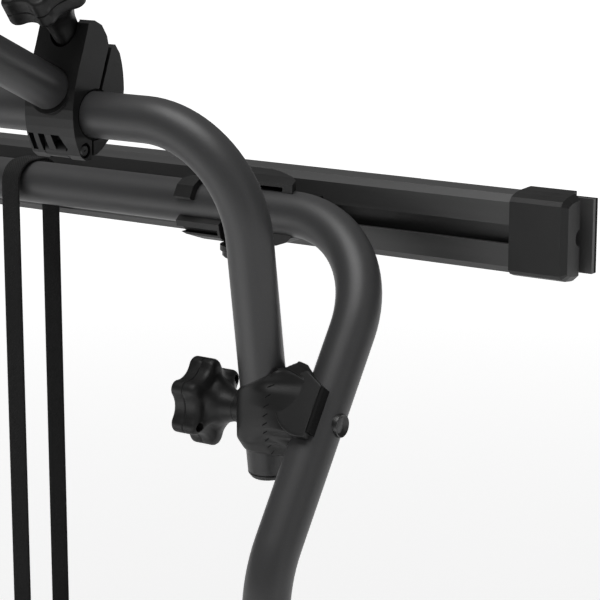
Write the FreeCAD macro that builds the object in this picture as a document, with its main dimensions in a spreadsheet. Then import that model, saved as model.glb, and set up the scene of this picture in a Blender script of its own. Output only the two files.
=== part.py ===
import FreeCAD, Part

import math
import os

import Sketcher

os.makedirs("parts", exist_ok=True)

# A bike carrier for the rear door of a van, in millimetres.
# X runs along the rails, Y points into the van and Z is up.
# The origin is the middle of the upper rail's back face.

doc = FreeCAD.newDocument("DoorBikeCarrier")
sheet = doc.addObject("Spreadsheet::Sheet", "sizes")

SIZES = (
    ("tube_diameter", 30.0, "main frame, inner bar and platform tubes"),
    ("tube_wall", 2.0, "wall of every tube"),
    ("run_gap", 0.05, "radial clearance of a sliding or turning fit"),
    ("seat_gap", 0.3, "clearance between seats of separate pieces"),
    ("rail_length", 1092.0, "extruded rail without its end caps"),
    ("rail_height", 51.0, "rail section, up and down"),
    ("rail_depth", 24.0, "rail section, front to back"),
    ("rail_chamfer_rise", 4.5, "front corner of the rail, in height"),
    ("rail_chamfer_run", 4.0, "front corner of the rail, in depth"),
    ("slot_mouth", 12.6, "open width of the rail's slot"),
    ("slot_width", 22.0, "inner width of the rail's slot"),
    ("slot_lip", 3.5, "thickness of the slot's lips"),
    ("slot_depth", 10.5, "depth of the slot from the rail's front"),
    ("rail_wall", 3.0, "walls round the rail's hollow chambers"),
    ("rail_spacing", 850.0, "upper rail to lower rail"),
    ("cap_length", 40.4, "rail end cap along the rail"),
    ("cap_wall", 4.0, "rail end cap in front of the rail"),
    ("cap_rise", 2.9, "rail end cap above and below the rail"),
    ("cap_round", 8.0, "front corners of the end cap's section"),
    ("cap_chamfer", 3.7, "bevels of the cap's end"),
    ("cap_notch", 5.5, "radius of the drain notch in the cap"),
    ("cap_end", 7.4, "cap past the end of the rail"),
    ("cap_end_back", 8.5, "end wall of the cap in front of the rail's back"),
    ("bracket_length", 128.0, "door bracket plate along the rail"),
    ("bracket_height", 48.6, "door bracket plate, up and down"),
    ("bracket_plate", 3.0, "door bracket sheet thickness"),
    ("bracket_reach", 5.1, "door bracket past the end of the cap"),
    ("bracket_recess", 0.5, "milled seat of the bracket in the rail's back"),
    ("bracket_bolt_span", 50.0, "between the two bolts of one bracket"),
    ("bracket_bolt_inset", 27.0, "nearer bolt to the inner edge of the bracket"),
    ("pad_thickness", 3.0, "rubber pad between bracket and door"),
    ("door_bolt_diameter", 6.0, "free end of the bolts into the door"),
    ("door_bolt_shank", 6.4, "those bolts inside rail, bracket and pad"),
    ("door_bolt_hole", 6.6, "clearance holes for those bolts"),
    ("door_bolt_head", 11.0, "diameter of the bolt head"),
    ("door_bolt_length", 21.0, "shank under the head"),
    ("leg_inset", 106.0, "main frame leg in from the rail's end"),
    ("frame_bar_y", -55.5, "top bar of the main frame, depth"),
    ("frame_bar_z", 3.2, "top bar of the main frame, height"),
    ("frame_bend", 75.0, "centre line radius of the frame bends"),
    ("frame_lean", 34.7, "lean of the frame's upper leg, degrees"),
    ("frame_leg_y", -194.0, "upright part of the frame leg, depth"),
    ("frame_joint_z", -480.0, "joint of upper and lower leg, height"),
    ("joiner_length", 120.0, "sleeve inside the leg joint"),
    ("bar_inset", 42.0, "inner bar leg in from the frame's leg"),
    ("bar_lean", 8.3, "lean of the inner bar, degrees"),
    ("bar_top_y", -161.0, "top of the inner bar, depth"),
    ("bar_top_z", 75.2, "top of the inner bar, height"),
    ("bar_bend", 72.0, "centre line radius of the inner bar bends"),
    ("bar_leg_length", 226.0, "inner bar leg below its top bar's axis"),
    ("plug_flange", 1.6, "rim of the tube end plug"),
    ("plug_depth", 18.0, "tube end plug inside the tube"),
    ("clamp_inset", 116.0, "rail clamp in from the frame's leg"),
    ("clamp_length", 88.0, "rail clamp along the tube"),
    ("clamp_ledge", 11.0, "ledge of the upper jaw above the rail's middle"),
    ("clamp_bottom", 21.5, "lower jaw below the rail's middle"),
    ("clamp_lip", 36.0, "lip of the lower jaw along the tube"),
    ("clamp_split", 12.3, "split of the rail clamp below the tube's axis"),
    ("clamp_split_gap", 3.4, "open split of the rail clamp"),
    ("clamp_bolt", 8.0, "bolt through jaws and tube"),
    ("clamp_bolt_hole", 8.6, "hole for that bolt"),
    ("clamp_bolt_head", 7.0, "radius of the bolt's head"),
    ("clamp_nut_radius", 15.8, "moulded cap nut under the lower jaw"),
    ("clamp_nut_height", 9.1, "height of that cap nut"),
    ("slot_nut_length", 76.0, "sliding nut in the rail slot"),
    ("slot_nut_thickness", 4.6, "thickness of the sliding nut"),
    ("slot_screw", 6.0, "screws into the sliding nut"),
    ("slot_screw_head", 5.0, "head radius of those screws"),
    ("slot_screw_span", 60.0, "between two screws of one nut"),
    ("slot_screw_grip", 6.5, "plate between the rail and the screw's head"),
    ("foot_width", 84.0, "foot plate along the rail"),
    ("foot_height", 44.0, "foot plate, up and down"),
    ("foot_socket", 38.0, "foot socket in front of the rail"),
    ("foot_wall", 4.0, "wall of the foot socket"),
    ("foot_insertion", 26.0, "leg inside the foot socket"),
    ("coupling_z", -110.0, "axis of the coupling, height"),
    ("coupling_neck", 11.0, "radius of the coupling at the knob"),
    ("coupling_inboard", 5.6, "coupling's wall between knob and tube"),
    ("coupling_rim", 33.0, "largest radius of the coupling's cone"),
    ("coupling_growth", 32.0, "coupling's cone along its axis"),
    ("coupling_wall", 3.5, "collar round the inner bar's leg"),
    ("coupling_drop", 20.3, "collar below the coupling's axis"),
    ("coupling_rise", 10.0, "collar above the coupling's axis"),
    ("coupling_disc", 23.5, "radius of the round front pad"),
    ("coupling_disc_height", 21.0, "front pad above the frame leg's axis"),
    ("coupling_slope", 12.0, "lean of the drum's flat from the front pad, degrees"),
    ("coupling_overlap", 7.0, "front pad past the frame leg's axis"),
    ("coupling_relief", 20.5, "radius of the relief round the leg below the liner"),
    ("coupling_liner", 2.0, "rubber liner on the frame's leg"),
    ("coupling_liner_length", 30.0, "rubber liner along the frame's leg"),
    ("liner_strip", 5.6, "liner's edge strip along the rails"),
    ("liner_strip_height", 21.8, "liner's edge strip above the leg's axis"),
    ("coupling_bolt", 8.0, "bolt through the frame's leg"),
    ("coupling_bolt_head", 7.7, "radius of the domed bolt head"),
    ("knob_radius", 29.0, "star knob over its lobes"),
    ("knob_thickness", 20.0, "star knob rim"),
    ("knob_stem_length", 17.0, "star knob's cone under the rim"),
    ("knob_stem_radius", 9.7, "star knob's cone at its end"),
    ("knob_hub_radius", 19.0, "star knob's cone where it meets the rim"),
    ("knob_valley", 11.6, "radius of the hollows between the lobes"),
    ("knob_valley_reach", 34.0, "centre of the hollows from the axis"),
    ("knob_pocket", 2.6, "radius of the blind holes behind the lobes"),
    ("knob_pocket_reach", 23.6, "those holes from the axis"),
    ("knob_stud", 8.0, "threaded stud of the knobs"),
    ("arm_knob_stem", 33.0, "stem of the arm's knob"),
    ("arm_knob_stud", 34.0, "stud of the arm's knob"),
    ("arm_x", 264.0, "bike arm clamp, from the middle"),
    ("jaw_width", 40.0, "bike arm clamp along the bar"),
    ("slot_rib_wall", 2.2, "wall between the front jaw's slots and its bore"),
    ("liner_wall", 1.5, "rubber liner in the bike arm clamp"),
    ("jaw_lean", 22.0, "lean of the bike arm clamp's split, degrees"),
    ("jaw_hinge_y", -10.0, "hinge of the rear jaw from the bar's axis, depth"),
    ("jaw_hinge_z", -22.2, "hinge of the rear jaw from the bar's axis, height"),
    ("jaw_hinge_screw", 5.0, "hinge screw of the rear jaw"),
    ("jaw_knuckle", 5.6, "radius of the rear jaw's knuckle"),
    ("jaw_knuckle_width", 17.4, "width of the rear jaw's knuckle"),
    ("stud_seat_y", 3.0, "seat of the arm's knob from the bar's axis, depth"),
    ("stud_seat_z", 43.8, "seat of the arm's knob from the bar's axis, height"),
    ("stud_recess", 11.0, "round recess for the stem of the arm's knob"),
    ("arm_diameter", 28.0, "bike arm tube"),
    ("arm_rise", 25.5, "bike arm tube above level, degrees"),
    ("arm_offset", 7.2, "arm's axis above the bar's axis"),
    ("arm_root", 24.0, "arm tube's inner end from the bar's axis"),
    ("arm_spigot", 26.0, "spigot of the clamp inside the arm tube"),
    ("short_arm", 215.0, "tube of the right bike arm"),
    ("long_arm", 405.0, "tube of the left bike arm"),
    ("knob_rise", 55.0, "arm knob's axis above level, degrees"),
    ("claw_width", 34.0, "claw along the bike's tube"),
    ("claw_gap", 54.0, "claw opening between its walls"),
    ("claw_wall", 9.0, "claw walls"),
    ("claw_height", 46.0, "top of the claw walls above the arm's axis"),
    ("claw_travel", 26.0, "travel of the claw pad"),
    ("claw_pad", 7.0, "thickness of the claw pad"),
    ("claw_screw", 10.0, "claw screw diameter"),
    ("claw_screw_rise", 21.0, "claw screw above the arm's axis"),
    ("claw_socket", 34.0, "arm tube inside the claw"),
    ("claw_socket_wall", 4.5, "claw socket wall"),
    ("claw_knob_radius", 19.0, "claw knob over its lobes"),
    ("pivot_y", -270.0, "platform pivot, depth"),
    ("pivot_z", -735.0, "platform pivot, height"),
    ("pivot_pin", 10.0, "platform pivot bolt"),
    ("lug_thickness", 5.0, "cheeks of the platform bracket"),
    ("lug_height", 38.0, "cheeks of the platform bracket, up and down"),
    ("bracket_wall", 7.0, "platform bracket round the leg"),
    ("platform_depth", 350.0, "pivot to the platform's front bar"),
    ("platform_tail", 32.0, "platform tube behind its pivot"),
    ("channel_length", 1240.0, "wheel channel"),
    ("channel_width", 62.0, "wheel channel, front to back"),
    ("channel_height", 30.0, "wheel channel walls"),
    ("channel_wall", 3.0, "wheel channel wall"),
    ("channel_seat", 3.0, "saddle between tube and channel"),
    ("inner_channel", 100.0, "inner wheel channel from the pivot"),
    ("outer_channel", 240.0, "outer wheel channel from the pivot"),
    ("channel_cap", 26.0, "end cap of the wheel channel"),
    ("wheel_strap_x", 520.0, "wheel straps, from the middle"),
    ("wheel_strap_width", 22.0, "wheel strap webbing"),
    ("wheel_strap_thickness", 2.0, "wheel strap webbing"),
    ("wheel_strap_rise", 34.0, "top of the closed wheel strap above the channel"),
    ("safety_strap_x", 134.0, "safety strap, from the middle"),
    ("safety_strap_width", 16.0, "safety strap webbing"),
    ("safety_strap_thickness", 1.8, "safety strap webbing"),
    ("safety_strap_drop", 430.0, "safety strap below the top bar"),
    ("safety_buckle_drop", 358.0, "strap buckle below the top bar"),
    ("safety_strap_front", 20.5, "front strand from the top bar's axis"),
    ("safety_strap_rear", 22.5, "rear strand from the top bar's axis"),
)


class Size:
    """A size from the sheet, or one worked out from such sizes, with its expression."""

    def __init__(self, value, text):
        self.value = value
        self.text = text

    def __float__(self):
        return self.value

    def __neg__(self):
        return Size(-self.value, "(-" + self.text + ")")

    def __add__(self, other):
        other = as_size(other)
        return Size(self.value + other.value, "(" + self.text + " + " + other.text + ")")

    def __radd__(self, other):
        return as_size(other) + self

    def __sub__(self, other):
        return self + (-as_size(other))

    def __rsub__(self, other):
        return as_size(other) - self

    def __mul__(self, factor):
        factor = as_size(factor)
        return Size(self.value * factor.value, "(" + self.text + " * " + factor.text + ")")

    def __rmul__(self, factor):
        return self * factor

    def __truediv__(self, factor):
        factor = as_size(factor)
        return Size(self.value / factor.value, "(" + self.text + " / " + factor.text + ")")


def as_size(value):
    if isinstance(value, Size):
        return value
    return Size(float(value), repr(float(value)))


def fill_sheet():
    """Write each size with its name and its note, and return them by name."""
    sizes = {}
    for row, (name, value, note) in enumerate(SIZES, start=1):
        sheet.set("A%d" % row, name)
        sheet.set("B%d" % row, repr(value))
        sheet.set("C%d" % row, note)
        sheet.setAlias("B%d" % row, name)
        sizes[name] = Size(value, "sizes." + name)
    doc.recompute()
    return sizes


d = fill_sheet()
nodes = []


def vector(x, y, z):
    return FreeCAD.Vector(float(x), float(y), float(z))


def bind(thing, name, size):
    """Set a property and tie it to the sheet."""
    size = as_size(size)
    setattr(thing, name, size.value)
    if "sizes." in size.text:
        thing.setExpression(name, size.text)


def place(thing, x=0.0, y=0.0, z=0.0, rotation=None):
    """Put an object at a point that follows the sheet, turned about that point."""
    thing.Placement = FreeCAD.Placement(vector(x, y, z), rotation or FreeCAD.Rotation())
    for axis, size in (("x", x), ("y", y), ("z", z)):
        size = as_size(size)
        if "sizes." in size.text:
            thing.setExpression("Placement.Base." + axis, size.text)
    return thing


def toward(direction):
    """The turn that takes +Z to a direction."""
    return FreeCAD.Rotation(FreeCAD.Vector(0, 0, 1), direction)


def keep(thing, label):
    """Name a finished sub-part, which becomes one node."""
    thing.Label = label
    nodes.append(thing)
    return thing


def origin_item(body, role):
    return [item for item in body.Origin.OriginFeatures if item.Role == role][0]


def new_sketch(body, name, role, offset=0.0):
    """A sketch on one of the body's own planes, or moved off it along its normal."""
    sketch = body.newObject("Sketcher::SketchObject", name)
    sketch.AttachmentSupport = [(origin_item(body, role), "")]
    sketch.MapMode = "FlatFace"
    offset = as_size(offset)
    sketch.AttachmentOffset = FreeCAD.Placement(vector(0, 0, offset), FreeCAD.Rotation())
    if "sizes." in offset.text:
        sketch.setExpression("AttachmentOffset.Base.z", offset.text)
    return sketch


def hold(sketch, index, size):
    """Tie one constraint of a sketch to the sheet."""
    if "sizes." in size.text:
        sketch.setExpression("Constraints[%d]" % index, size.text)


def pin_point(sketch, edge, end, x, y):
    """Hold one point of a sketch at coordinates that follow the sheet."""
    for kind, axis, size in (("DistanceX", -2, as_size(x)), ("DistanceY", -1, as_size(y))):
        if size.value == 0.0:
            sketch.addConstraint(Sketcher.Constraint("PointOnObject", edge, end, axis))
        else:
            index = sketch.addConstraint(Sketcher.Constraint(kind, -1, 1, edge, end, size.value))
            hold(sketch, index, size)


def polygon(sketch, points):
    """Draw a closed outline of straight lines."""
    first = sketch.GeometryCount
    count = len(points)
    for index in range(count):
        start = points[index]
        end = points[(index + 1) % count]
        line = Part.LineSegment(vector(start[0], start[1], 0), vector(end[0], end[1], 0))
        sketch.addGeometry(line)
    for index in range(count):
        following = first + (index + 1) % count
        sketch.addConstraint(Sketcher.Constraint("Coincident", first + index, 2, following, 1))
    for index, (x, y) in enumerate(points):
        pin_point(sketch, first + index, 1, x, y)


def circle(sketch, x, y, radius):
    radius = as_size(radius)
    edge = sketch.addGeometry(Part.Circle(vector(x, y, 0), FreeCAD.Vector(0, 0, 1), radius.value))
    pin_point(sketch, edge, 3, x, y)
    hold(sketch, sketch.addConstraint(Sketcher.Constraint("Radius", edge, radius.value)), radius)


def new_body(name):
    return doc.addObject("PartDesign::Body", name)


def prism(body, kind, name, role, start, end, outlines=(), circles=()):
    """Pad or pocket outlines and circles between two positions along the plane's axis.

    On YZ_Plane the outline holds Y and Z and runs along X, on XZ_Plane it holds X and Z
    and runs along Y, and on XY_Plane it holds X and Y and runs along Z.
    """
    middle = (start + end) / 2.0
    if role == "XZ_Plane":
        middle = -middle
    sketch = new_sketch(body, name, role, middle)
    for points in outlines:
        polygon(sketch, points)
    for x, y, radius in circles:
        circle(sketch, x, y, radius)
    feature = body.newObject("PartDesign::" + kind, name + kind)
    feature.Profile = sketch
    bind(feature, "Length", end - start)
    feature.SideType = "Symmetric"
    sketch.Visibility = False
    body.Tip = feature
    return feature


def revolve(body, name, points, kind="Revolution"):
    """Turn an outline of radius and height about Z."""
    sketch = new_sketch(body, name, "XZ_Plane")
    polygon(sketch, points)
    feature = body.newObject("PartDesign::" + kind, name + kind)
    feature.Profile = sketch
    feature.ReferenceAxis = (sketch, ["V_Axis"])
    feature.Angle = 360.0
    sketch.Visibility = False
    body.Tip = feature
    return feature


def repeat_round(body, features, count):
    """Repeat features about the body's Z axis."""
    pattern = body.newObject("PartDesign::PolarPattern", features[0].Name + "Round")
    pattern.Originals = features
    pattern.Axis = (origin_item(body, "Z_Axis"), [""])
    pattern.Angle = 360.0
    pattern.Occurrences = count
    body.Tip = pattern
    return pattern


def chamfer_edges(body, name, size, chosen):
    """Bevel the edges that a test on the edge picks."""
    doc.recompute()
    names = []
    for index, edge in enumerate(body.Shape.Edges, start=1):
        if chosen(edge):
            names.append("Edge%d" % index)
    before = body.Tip
    bevel = body.newObject("PartDesign::Chamfer", name)
    bevel.Base = (before, names)
    bind(bevel, "Size", size)
    body.Tip = bevel
    return bevel


def cylinder(name, radius, height, x, y, z, rotation=None):
    thing = doc.addObject("Part::Cylinder", name)
    bind(thing, "Radius", radius)
    bind(thing, "Height", height)
    return place(thing, x, y, z, rotation)


def cone(name, radius, end_radius, height, x, y, z, rotation=None):
    thing = doc.addObject("Part::Cone", name)
    bind(thing, "Radius1", radius)
    bind(thing, "Radius2", end_radius)
    bind(thing, "Height", height)
    return place(thing, x, y, z, rotation)


def box(name, length, width, height, x, y, z, rotation=None):
    """A box whose first corner is at a point."""
    thing = doc.addObject("Part::Box", name)
    bind(thing, "Length", length)
    bind(thing, "Width", width)
    bind(thing, "Height", height)
    return place(thing, x, y, z, rotation)


def fuse(name, *things):
    thing = doc.addObject("Part::MultiFuse", name)
    thing.Shapes = list(things)
    thing.Refine = True
    return thing


def cut(name, base, *tools):
    thing = doc.addObject("Part::Cut", name)
    thing.Base = base
    thing.Tool = tools[0] if len(tools) == 1 else fuse(name + "_tools", *tools)
    return thing


def common(name, base, tool):
    thing = doc.addObject("Part::Common", name)
    thing.Base = base
    thing.Tool = tool
    return thing


def mirrored(name, source):
    """The left-hand copy of a right-hand piece."""
    thing = doc.addObject("Part::Mirroring", name)
    thing.Source = source
    thing.Base = FreeCAD.Vector(0, 0, 0)
    thing.Normal = FreeCAD.Vector(1, 0, 0)
    return thing


def keep_both(thing, label):
    """Keep a right-hand piece and its mirrored twin."""
    keep(thing, label + "_right")
    keep(mirrored(label + "_twin", thing), label + "_left")


def computed(name, shape):
    thing = doc.addObject("Part::Feature", name)
    thing.Shape = shape
    return thing


def at(x, y, z, rotation=None):
    return FreeCAD.Placement(vector(x, y, z), rotation or FreeCAD.Rotation())


def group(name, master, placements):
    """Copies of one small piece as separate solids of one node."""
    doc.recompute()
    copies = []
    for placement in placements:
        copy = master.Shape.copy()
        copy.Placement = placement.multiply(copy.Placement)
        copies.append(copy)
    return computed(name, Part.makeCompound(copies))


def both_sides(x, y, z, rotation=None):
    """Places at the same distance right and left of the middle."""
    return [at(x, y, z, rotation), at(-x, y, z, rotation)]


def bent_wire(points, radius):
    """Straight runs through the points, joined by tangent arcs of one radius."""
    points = [FreeCAD.Vector(point) for point in points]
    edges = []
    start = points[0]
    for before, corner, after in zip(points, points[1:], points[2:]):
        into = (corner - before).normalize()
        out = (after - corner).normalize()
        half = into.getAngle(out) / 2.0
        trim = radius * math.tan(half)
        first = corner - into * trim
        last = corner + out * trim
        inward = (out - into).normalize()
        centre = corner + inward * (radius / math.cos(half))
        middle = centre - inward * radius
        edges.append(Part.LineSegment(start, first).toShape())
        edges.append(Part.Arc(first, middle, last).toShape())
        start = last
    edges.append(Part.LineSegment(start, points[-1]).toShape())
    return Part.Wire(edges)


def sweep(wire, section):
    return wire.makePipeShell([section], True, False)


def rod(wire, radius):
    """A round bar along a wire."""
    edge = wire.Edges[0]
    start = edge.valueAt(edge.FirstParameter)
    tangent = edge.tangentAt(edge.FirstParameter)
    return sweep(wire, Part.Wire([Part.Circle(start, tangent, radius).toShape()]))


def tube(points, bend, diameter, wall):
    """A bent tube, open at both ends."""
    wire = bent_wire(points, float(bend))
    outside = rod(wire, float(diameter) / 2.0)
    inside = rod(wire, float(diameter) / 2.0 - float(wall))
    return outside.cut(inside)


def bored(shape, radius, start, direction, length):
    """A shape with one round hole."""
    return shape.cut(Part.makeCylinder(float(radius), float(length), start, direction))


def tilt(degrees):
    """A turn about X that leans +Z toward -Y."""
    return FreeCAD.Rotation(FreeCAD.Vector(1, 0, 0), float(degrees))


X_AXIS = FreeCAD.Vector(1, 0, 0)
Z_AXIS = FreeCAD.Vector(0, 0, 1)
ALONG_X = FreeCAD.Rotation(FreeCAD.Vector(0, 1, 0), 90)
ALONG_Y = FreeCAD.Rotation(FreeCAD.Vector(1, 0, 0), -90)
UPSIDE = FreeCAD.Rotation(FreeCAD.Vector(0, 1, 0), 180)
LOBES = 6

tube_radius = d["tube_diameter"] / 2.0
run_gap = d["run_gap"]
seat_gap = d["seat_gap"]
half_rail = d["rail_length"] / 2.0
half_height = d["rail_height"] / 2.0
low_rail = -d["rail_spacing"]
rail_front = -d["rail_depth"]
leg_x = half_rail - d["leg_inset"]
bar_leg_x = leg_x - d["bar_inset"]
clamp_x = leg_x - d["clamp_inset"]
plate_end = half_rail + d["cap_end"] + d["bracket_reach"]
door_bolt_inner = plate_end - d["bracket_length"] + d["bracket_bolt_inset"]
door_bolt_outer = door_bolt_inner + d["bracket_bolt_span"]

# The coupling's axis crosses the frame's leg and the inner bar's leg at its own height.
frame_slope = math.tan(math.radians(float(d["frame_lean"])))
bar_slope = math.tan(math.radians(float(d["bar_lean"])))
coupling_y = d["frame_bar_y"] - (d["frame_bar_z"] - d["coupling_z"]) * frame_slope
coupling_bar_y = d["bar_top_y"] + (d["bar_top_z"] - d["coupling_z"]) * bar_slope

# Turns that bring +Z onto the leaning tubes and knobs.
bar_turn = tilt(d["bar_lean"])
frame_turn = tilt(-d["frame_lean"])
frame_front_turn = tilt(90.0 - float(d["frame_lean"]))
arm_turn = tilt(90.0 - float(d["arm_rise"]))
knob_turn = tilt(90.0 - float(d["knob_rise"]))


def rail_outline(gap):
    """The rail's section without its slot, grown by a gap."""
    top = half_height + gap
    front = rail_front - gap
    shoulder = half_height - d["rail_chamfer_rise"]
    flat = rail_front + d["rail_chamfer_run"]
    return [(0.0, top), (flat, top), (front, shoulder),
            (front, -shoulder), (flat, -top), (0.0, -top)]


def make_rail(label, z):
    """An extrusion with a slot in its front and three hollow chambers."""
    mouth = d["slot_mouth"] / 2.0
    slot = d["slot_width"] / 2.0
    wall = d["rail_wall"]
    lip = rail_front + d["slot_lip"]
    floor = rail_front + d["slot_depth"]
    outer = rail_outline(0.0)
    section = outer[:3] + [
        (rail_front, mouth), (lip, mouth), (lip, slot), (floor, slot),
        (floor, -slot), (lip, -slot), (lip, -mouth), (rail_front, -mouth)] + outer[3:]
    chambers = []
    side_top = half_height - wall
    side_front = rail_front + d["rail_chamfer_run"] + wall / 3.0
    side_low = slot + wall * 0.7
    for sign in (1.0, -1.0):
        chambers.append([(-wall, side_low * sign), (-wall, side_top * sign),
                         (side_front, side_top * sign), (side_front, side_low * sign)])
    middle = slot - wall / 3.0
    chambers.append([(-wall, middle), (-wall, -middle), (floor + wall, -middle), (floor + wall, middle)])
    body = new_body(label + "_body")
    prism(body, "Pad", label + "_section", "YZ_Plane", -half_rail, half_rail, [section] + chambers)
    holes = []
    seats = []
    seat = plate_end - d["bracket_length"] - seat_gap
    for sign in (1.0, -1.0):
        holes.append((door_bolt_inner * sign, 0.0, d["door_bolt_hole"] / 2.0))
        holes.append((door_bolt_outer * sign, 0.0, d["door_bolt_hole"] / 2.0))
        seats.append([(seat * sign, -d["rail_height"]), (seat * sign, d["rail_height"]),
                      (plate_end * sign, d["rail_height"]), (plate_end * sign, -d["rail_height"])])
    recess = d["bracket_recess"]
    prism(body, "Pocket", label + "_seats", "XZ_Plane", -recess, recess, seats)
    prism(body, "Pocket", label + "_holes", "XZ_Plane", wall * -1.5, wall, circles=holes)
    return keep(place(body, 0.0, 0.0, z), label)


def make_rail_caps():
    """Bevelled caps slipped over the rails' ends, open at the back."""
    bevel = d["cap_chamfer"]
    length = d["cap_length"]
    top = half_height + d["cap_rise"]
    front = rail_front - d["cap_wall"]
    corner = d["cap_round"]
    back = -d["cap_end_back"]
    half_outline = [(0.0, top), (front + corner * 2.0, top - corner * 0.05),
                    (front + corner, top - corner * 0.17), (front + corner * 0.31, top - corner * 0.42),
                    (front, top - corner * 0.76)]
    outline = half_outline + [(y, -z) for y, z in reversed(half_outline)]
    body = new_body("rail_cap")
    prism(body, "Pad", "rail_cap_outline", "YZ_Plane", 0.0, length, [outline])

    def at_end(edge):
        middle = edge.CenterOfMass
        return abs(middle.x - float(length)) < 0.01 and middle.y < -0.01
    chamfer_edges(body, "rail_cap_bevels", bevel, at_end)
    depth = length - d["cap_end"] + seat_gap
    prism(body, "Pocket", "rail_cap_cavity", "YZ_Plane", -length, depth, [rail_outline(seat_gap)])
    prism(body, "Pocket", "rail_cap_back", "YZ_Plane", depth, length * 2.0, [[
        (back, top * 2.0), (top, top * 2.0), (top, top * -2.0), (back, top * -2.0)]])
    prism(body, "Pocket", "rail_cap_notch", "YZ_Plane", depth, length * 2.0,
          circles=[(back, 0.0, d["cap_notch"])])
    start = half_rail + d["cap_end"] - length
    places = []
    for z in (0.0, low_rail):
        places.append(at(start, 0.0, z))
        places.append(at(-start, 0.0, z, UPSIDE))
    keep(group("rail_caps", body, places), "rail_end_caps")


def make_door_fixings():
    """Plates behind the rails' ends, and the pads and bolts that hold them to the door."""
    length = d["bracket_length"]
    tall = d["bracket_height"] / 2.0
    corner = d["bracket_height"] / 8.0
    outline = [(-length, corner - tall), (-length, tall - corner), (corner - length, tall),
               (0.0, tall), (0.0, -tall), (corner - length, -tall)]
    inner = door_bolt_inner - plate_end
    outer = door_bolt_outer - plate_end
    hole = d["door_bolt_hole"] / 2.0

    def four(name, label, y, thickness):
        body = new_body(name)
        prism(body, "Pad", name + "_outline", "XZ_Plane", 0.0, thickness, [outline])
        prism(body, "Pocket", name + "_holes", "XZ_Plane", -thickness, thickness * 2.0,
              circles=[(inner, 0.0, hole), (outer, 0.0, hole)])
        places = []
        for z in (0.0, low_rail):
            places.append(at(plate_end, y, z))
            places.append(at(-plate_end, y, z, UPSIDE))
        keep(group(name + "_group", body, places), label)

    plate_back = d["bracket_plate"] - d["bracket_recess"]
    four("door_bracket", "door_brackets", -d["bracket_recess"], d["bracket_plate"])
    four("door_pad", "door_pads", plate_back, d["pad_thickness"])

    radius = d["door_bolt_diameter"] / 2.0
    shank = d["door_bolt_shank"] / 2.0
    head = d["door_bolt_head"] / 2.0
    shoulder = -(d["rail_wall"] + plate_back + d["pad_thickness"] + seat_gap)
    tip = -d["door_bolt_length"]
    bolt = new_body("door_bolt")
    revolve(bolt, "door_bolt_shape", [
        (0.0, radius), (head * 0.6, radius), (head, radius / 3.0), (head, 0.0),
        (shank, 0.0), (shank, shoulder), (radius, shoulder), (radius, tip), (0.0, tip)])
    places = []
    for z in (0.0, low_rail):
        for distance in (door_bolt_inner, door_bolt_outer):
            places += both_sides(distance, -d["rail_wall"], z, tilt(90.0))
    keep(group("door_bolt_group", bolt, places), "door_bolts")


def leg_points(sign):
    """The frame's centre line on one side, from the top bar's corner to the leg joint."""
    x = float(leg_x) * sign
    bar_y = float(d["frame_bar_y"])
    bar_z = float(d["frame_bar_z"])
    leg_y = float(d["frame_leg_y"])
    knee_z = bar_z - (bar_y - leg_y) / frame_slope
    return [FreeCAD.Vector(x, bar_y, bar_z), FreeCAD.Vector(x, leg_y, knee_z),
            FreeCAD.Vector(x, leg_y, float(d["frame_joint_z"]))]


def make_main_frame():
    """The outer frame: one bent upper tube, two lower legs and the sleeves between them."""
    right = leg_points(1)
    left = leg_points(-1)
    shape = tube(right[::-1] + left, d["frame_bend"], d["tube_diameter"], d["tube_wall"])
    across = d["tube_diameter"] * 2.0
    hole = d["clamp_bolt_hole"] / 2.0
    for sign in (1.0, -1.0):
        under = vector(clamp_x * sign, d["frame_bar_y"], d["frame_bar_z"] - d["tube_diameter"])
        beside = vector(leg_x * sign - d["tube_diameter"], coupling_y, d["coupling_z"])
        shape = bored(shape, hole, under, Z_AXIS, across)
        shape = bored(shape, hole, beside, X_AXIS, across)
    keep(computed("frame_upper", shape), "frame_tube_upper")

    end_y = rail_front - d["foot_socket"] + d["foot_insertion"]
    bolt_y = rail_front - d["foot_socket"] + d["foot_insertion"] / 2.0
    leg = tube([vector(leg_x, d["frame_leg_y"], d["frame_joint_z"] - seat_gap),
                vector(leg_x, d["frame_leg_y"], low_rail), vector(leg_x, end_y, low_rail)],
               d["frame_bend"], d["tube_diameter"], d["tube_wall"])
    leg = bored(leg, hole, vector(leg_x, bolt_y, low_rail - d["tube_diameter"]), Z_AXIS, across)
    keep_both(computed("frame_lower_leg", leg), "frame_leg")

    sleeve = cylinder("sleeve", tube_radius - d["tube_wall"] - run_gap, d["joiner_length"],
                      0.0, 0.0, d["joiner_length"] / -2.0)
    bore = cylinder("sleeve_bore", tube_radius - d["tube_wall"] * 2.5, d["joiner_length"] * 2.0,
                    0.0, 0.0, -d["joiner_length"])
    keep(group("sleeves", cut("sleeve_tube", sleeve, bore),
               both_sides(leg_x, d["frame_leg_y"], d["frame_joint_z"])), "leg_joiners")


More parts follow.
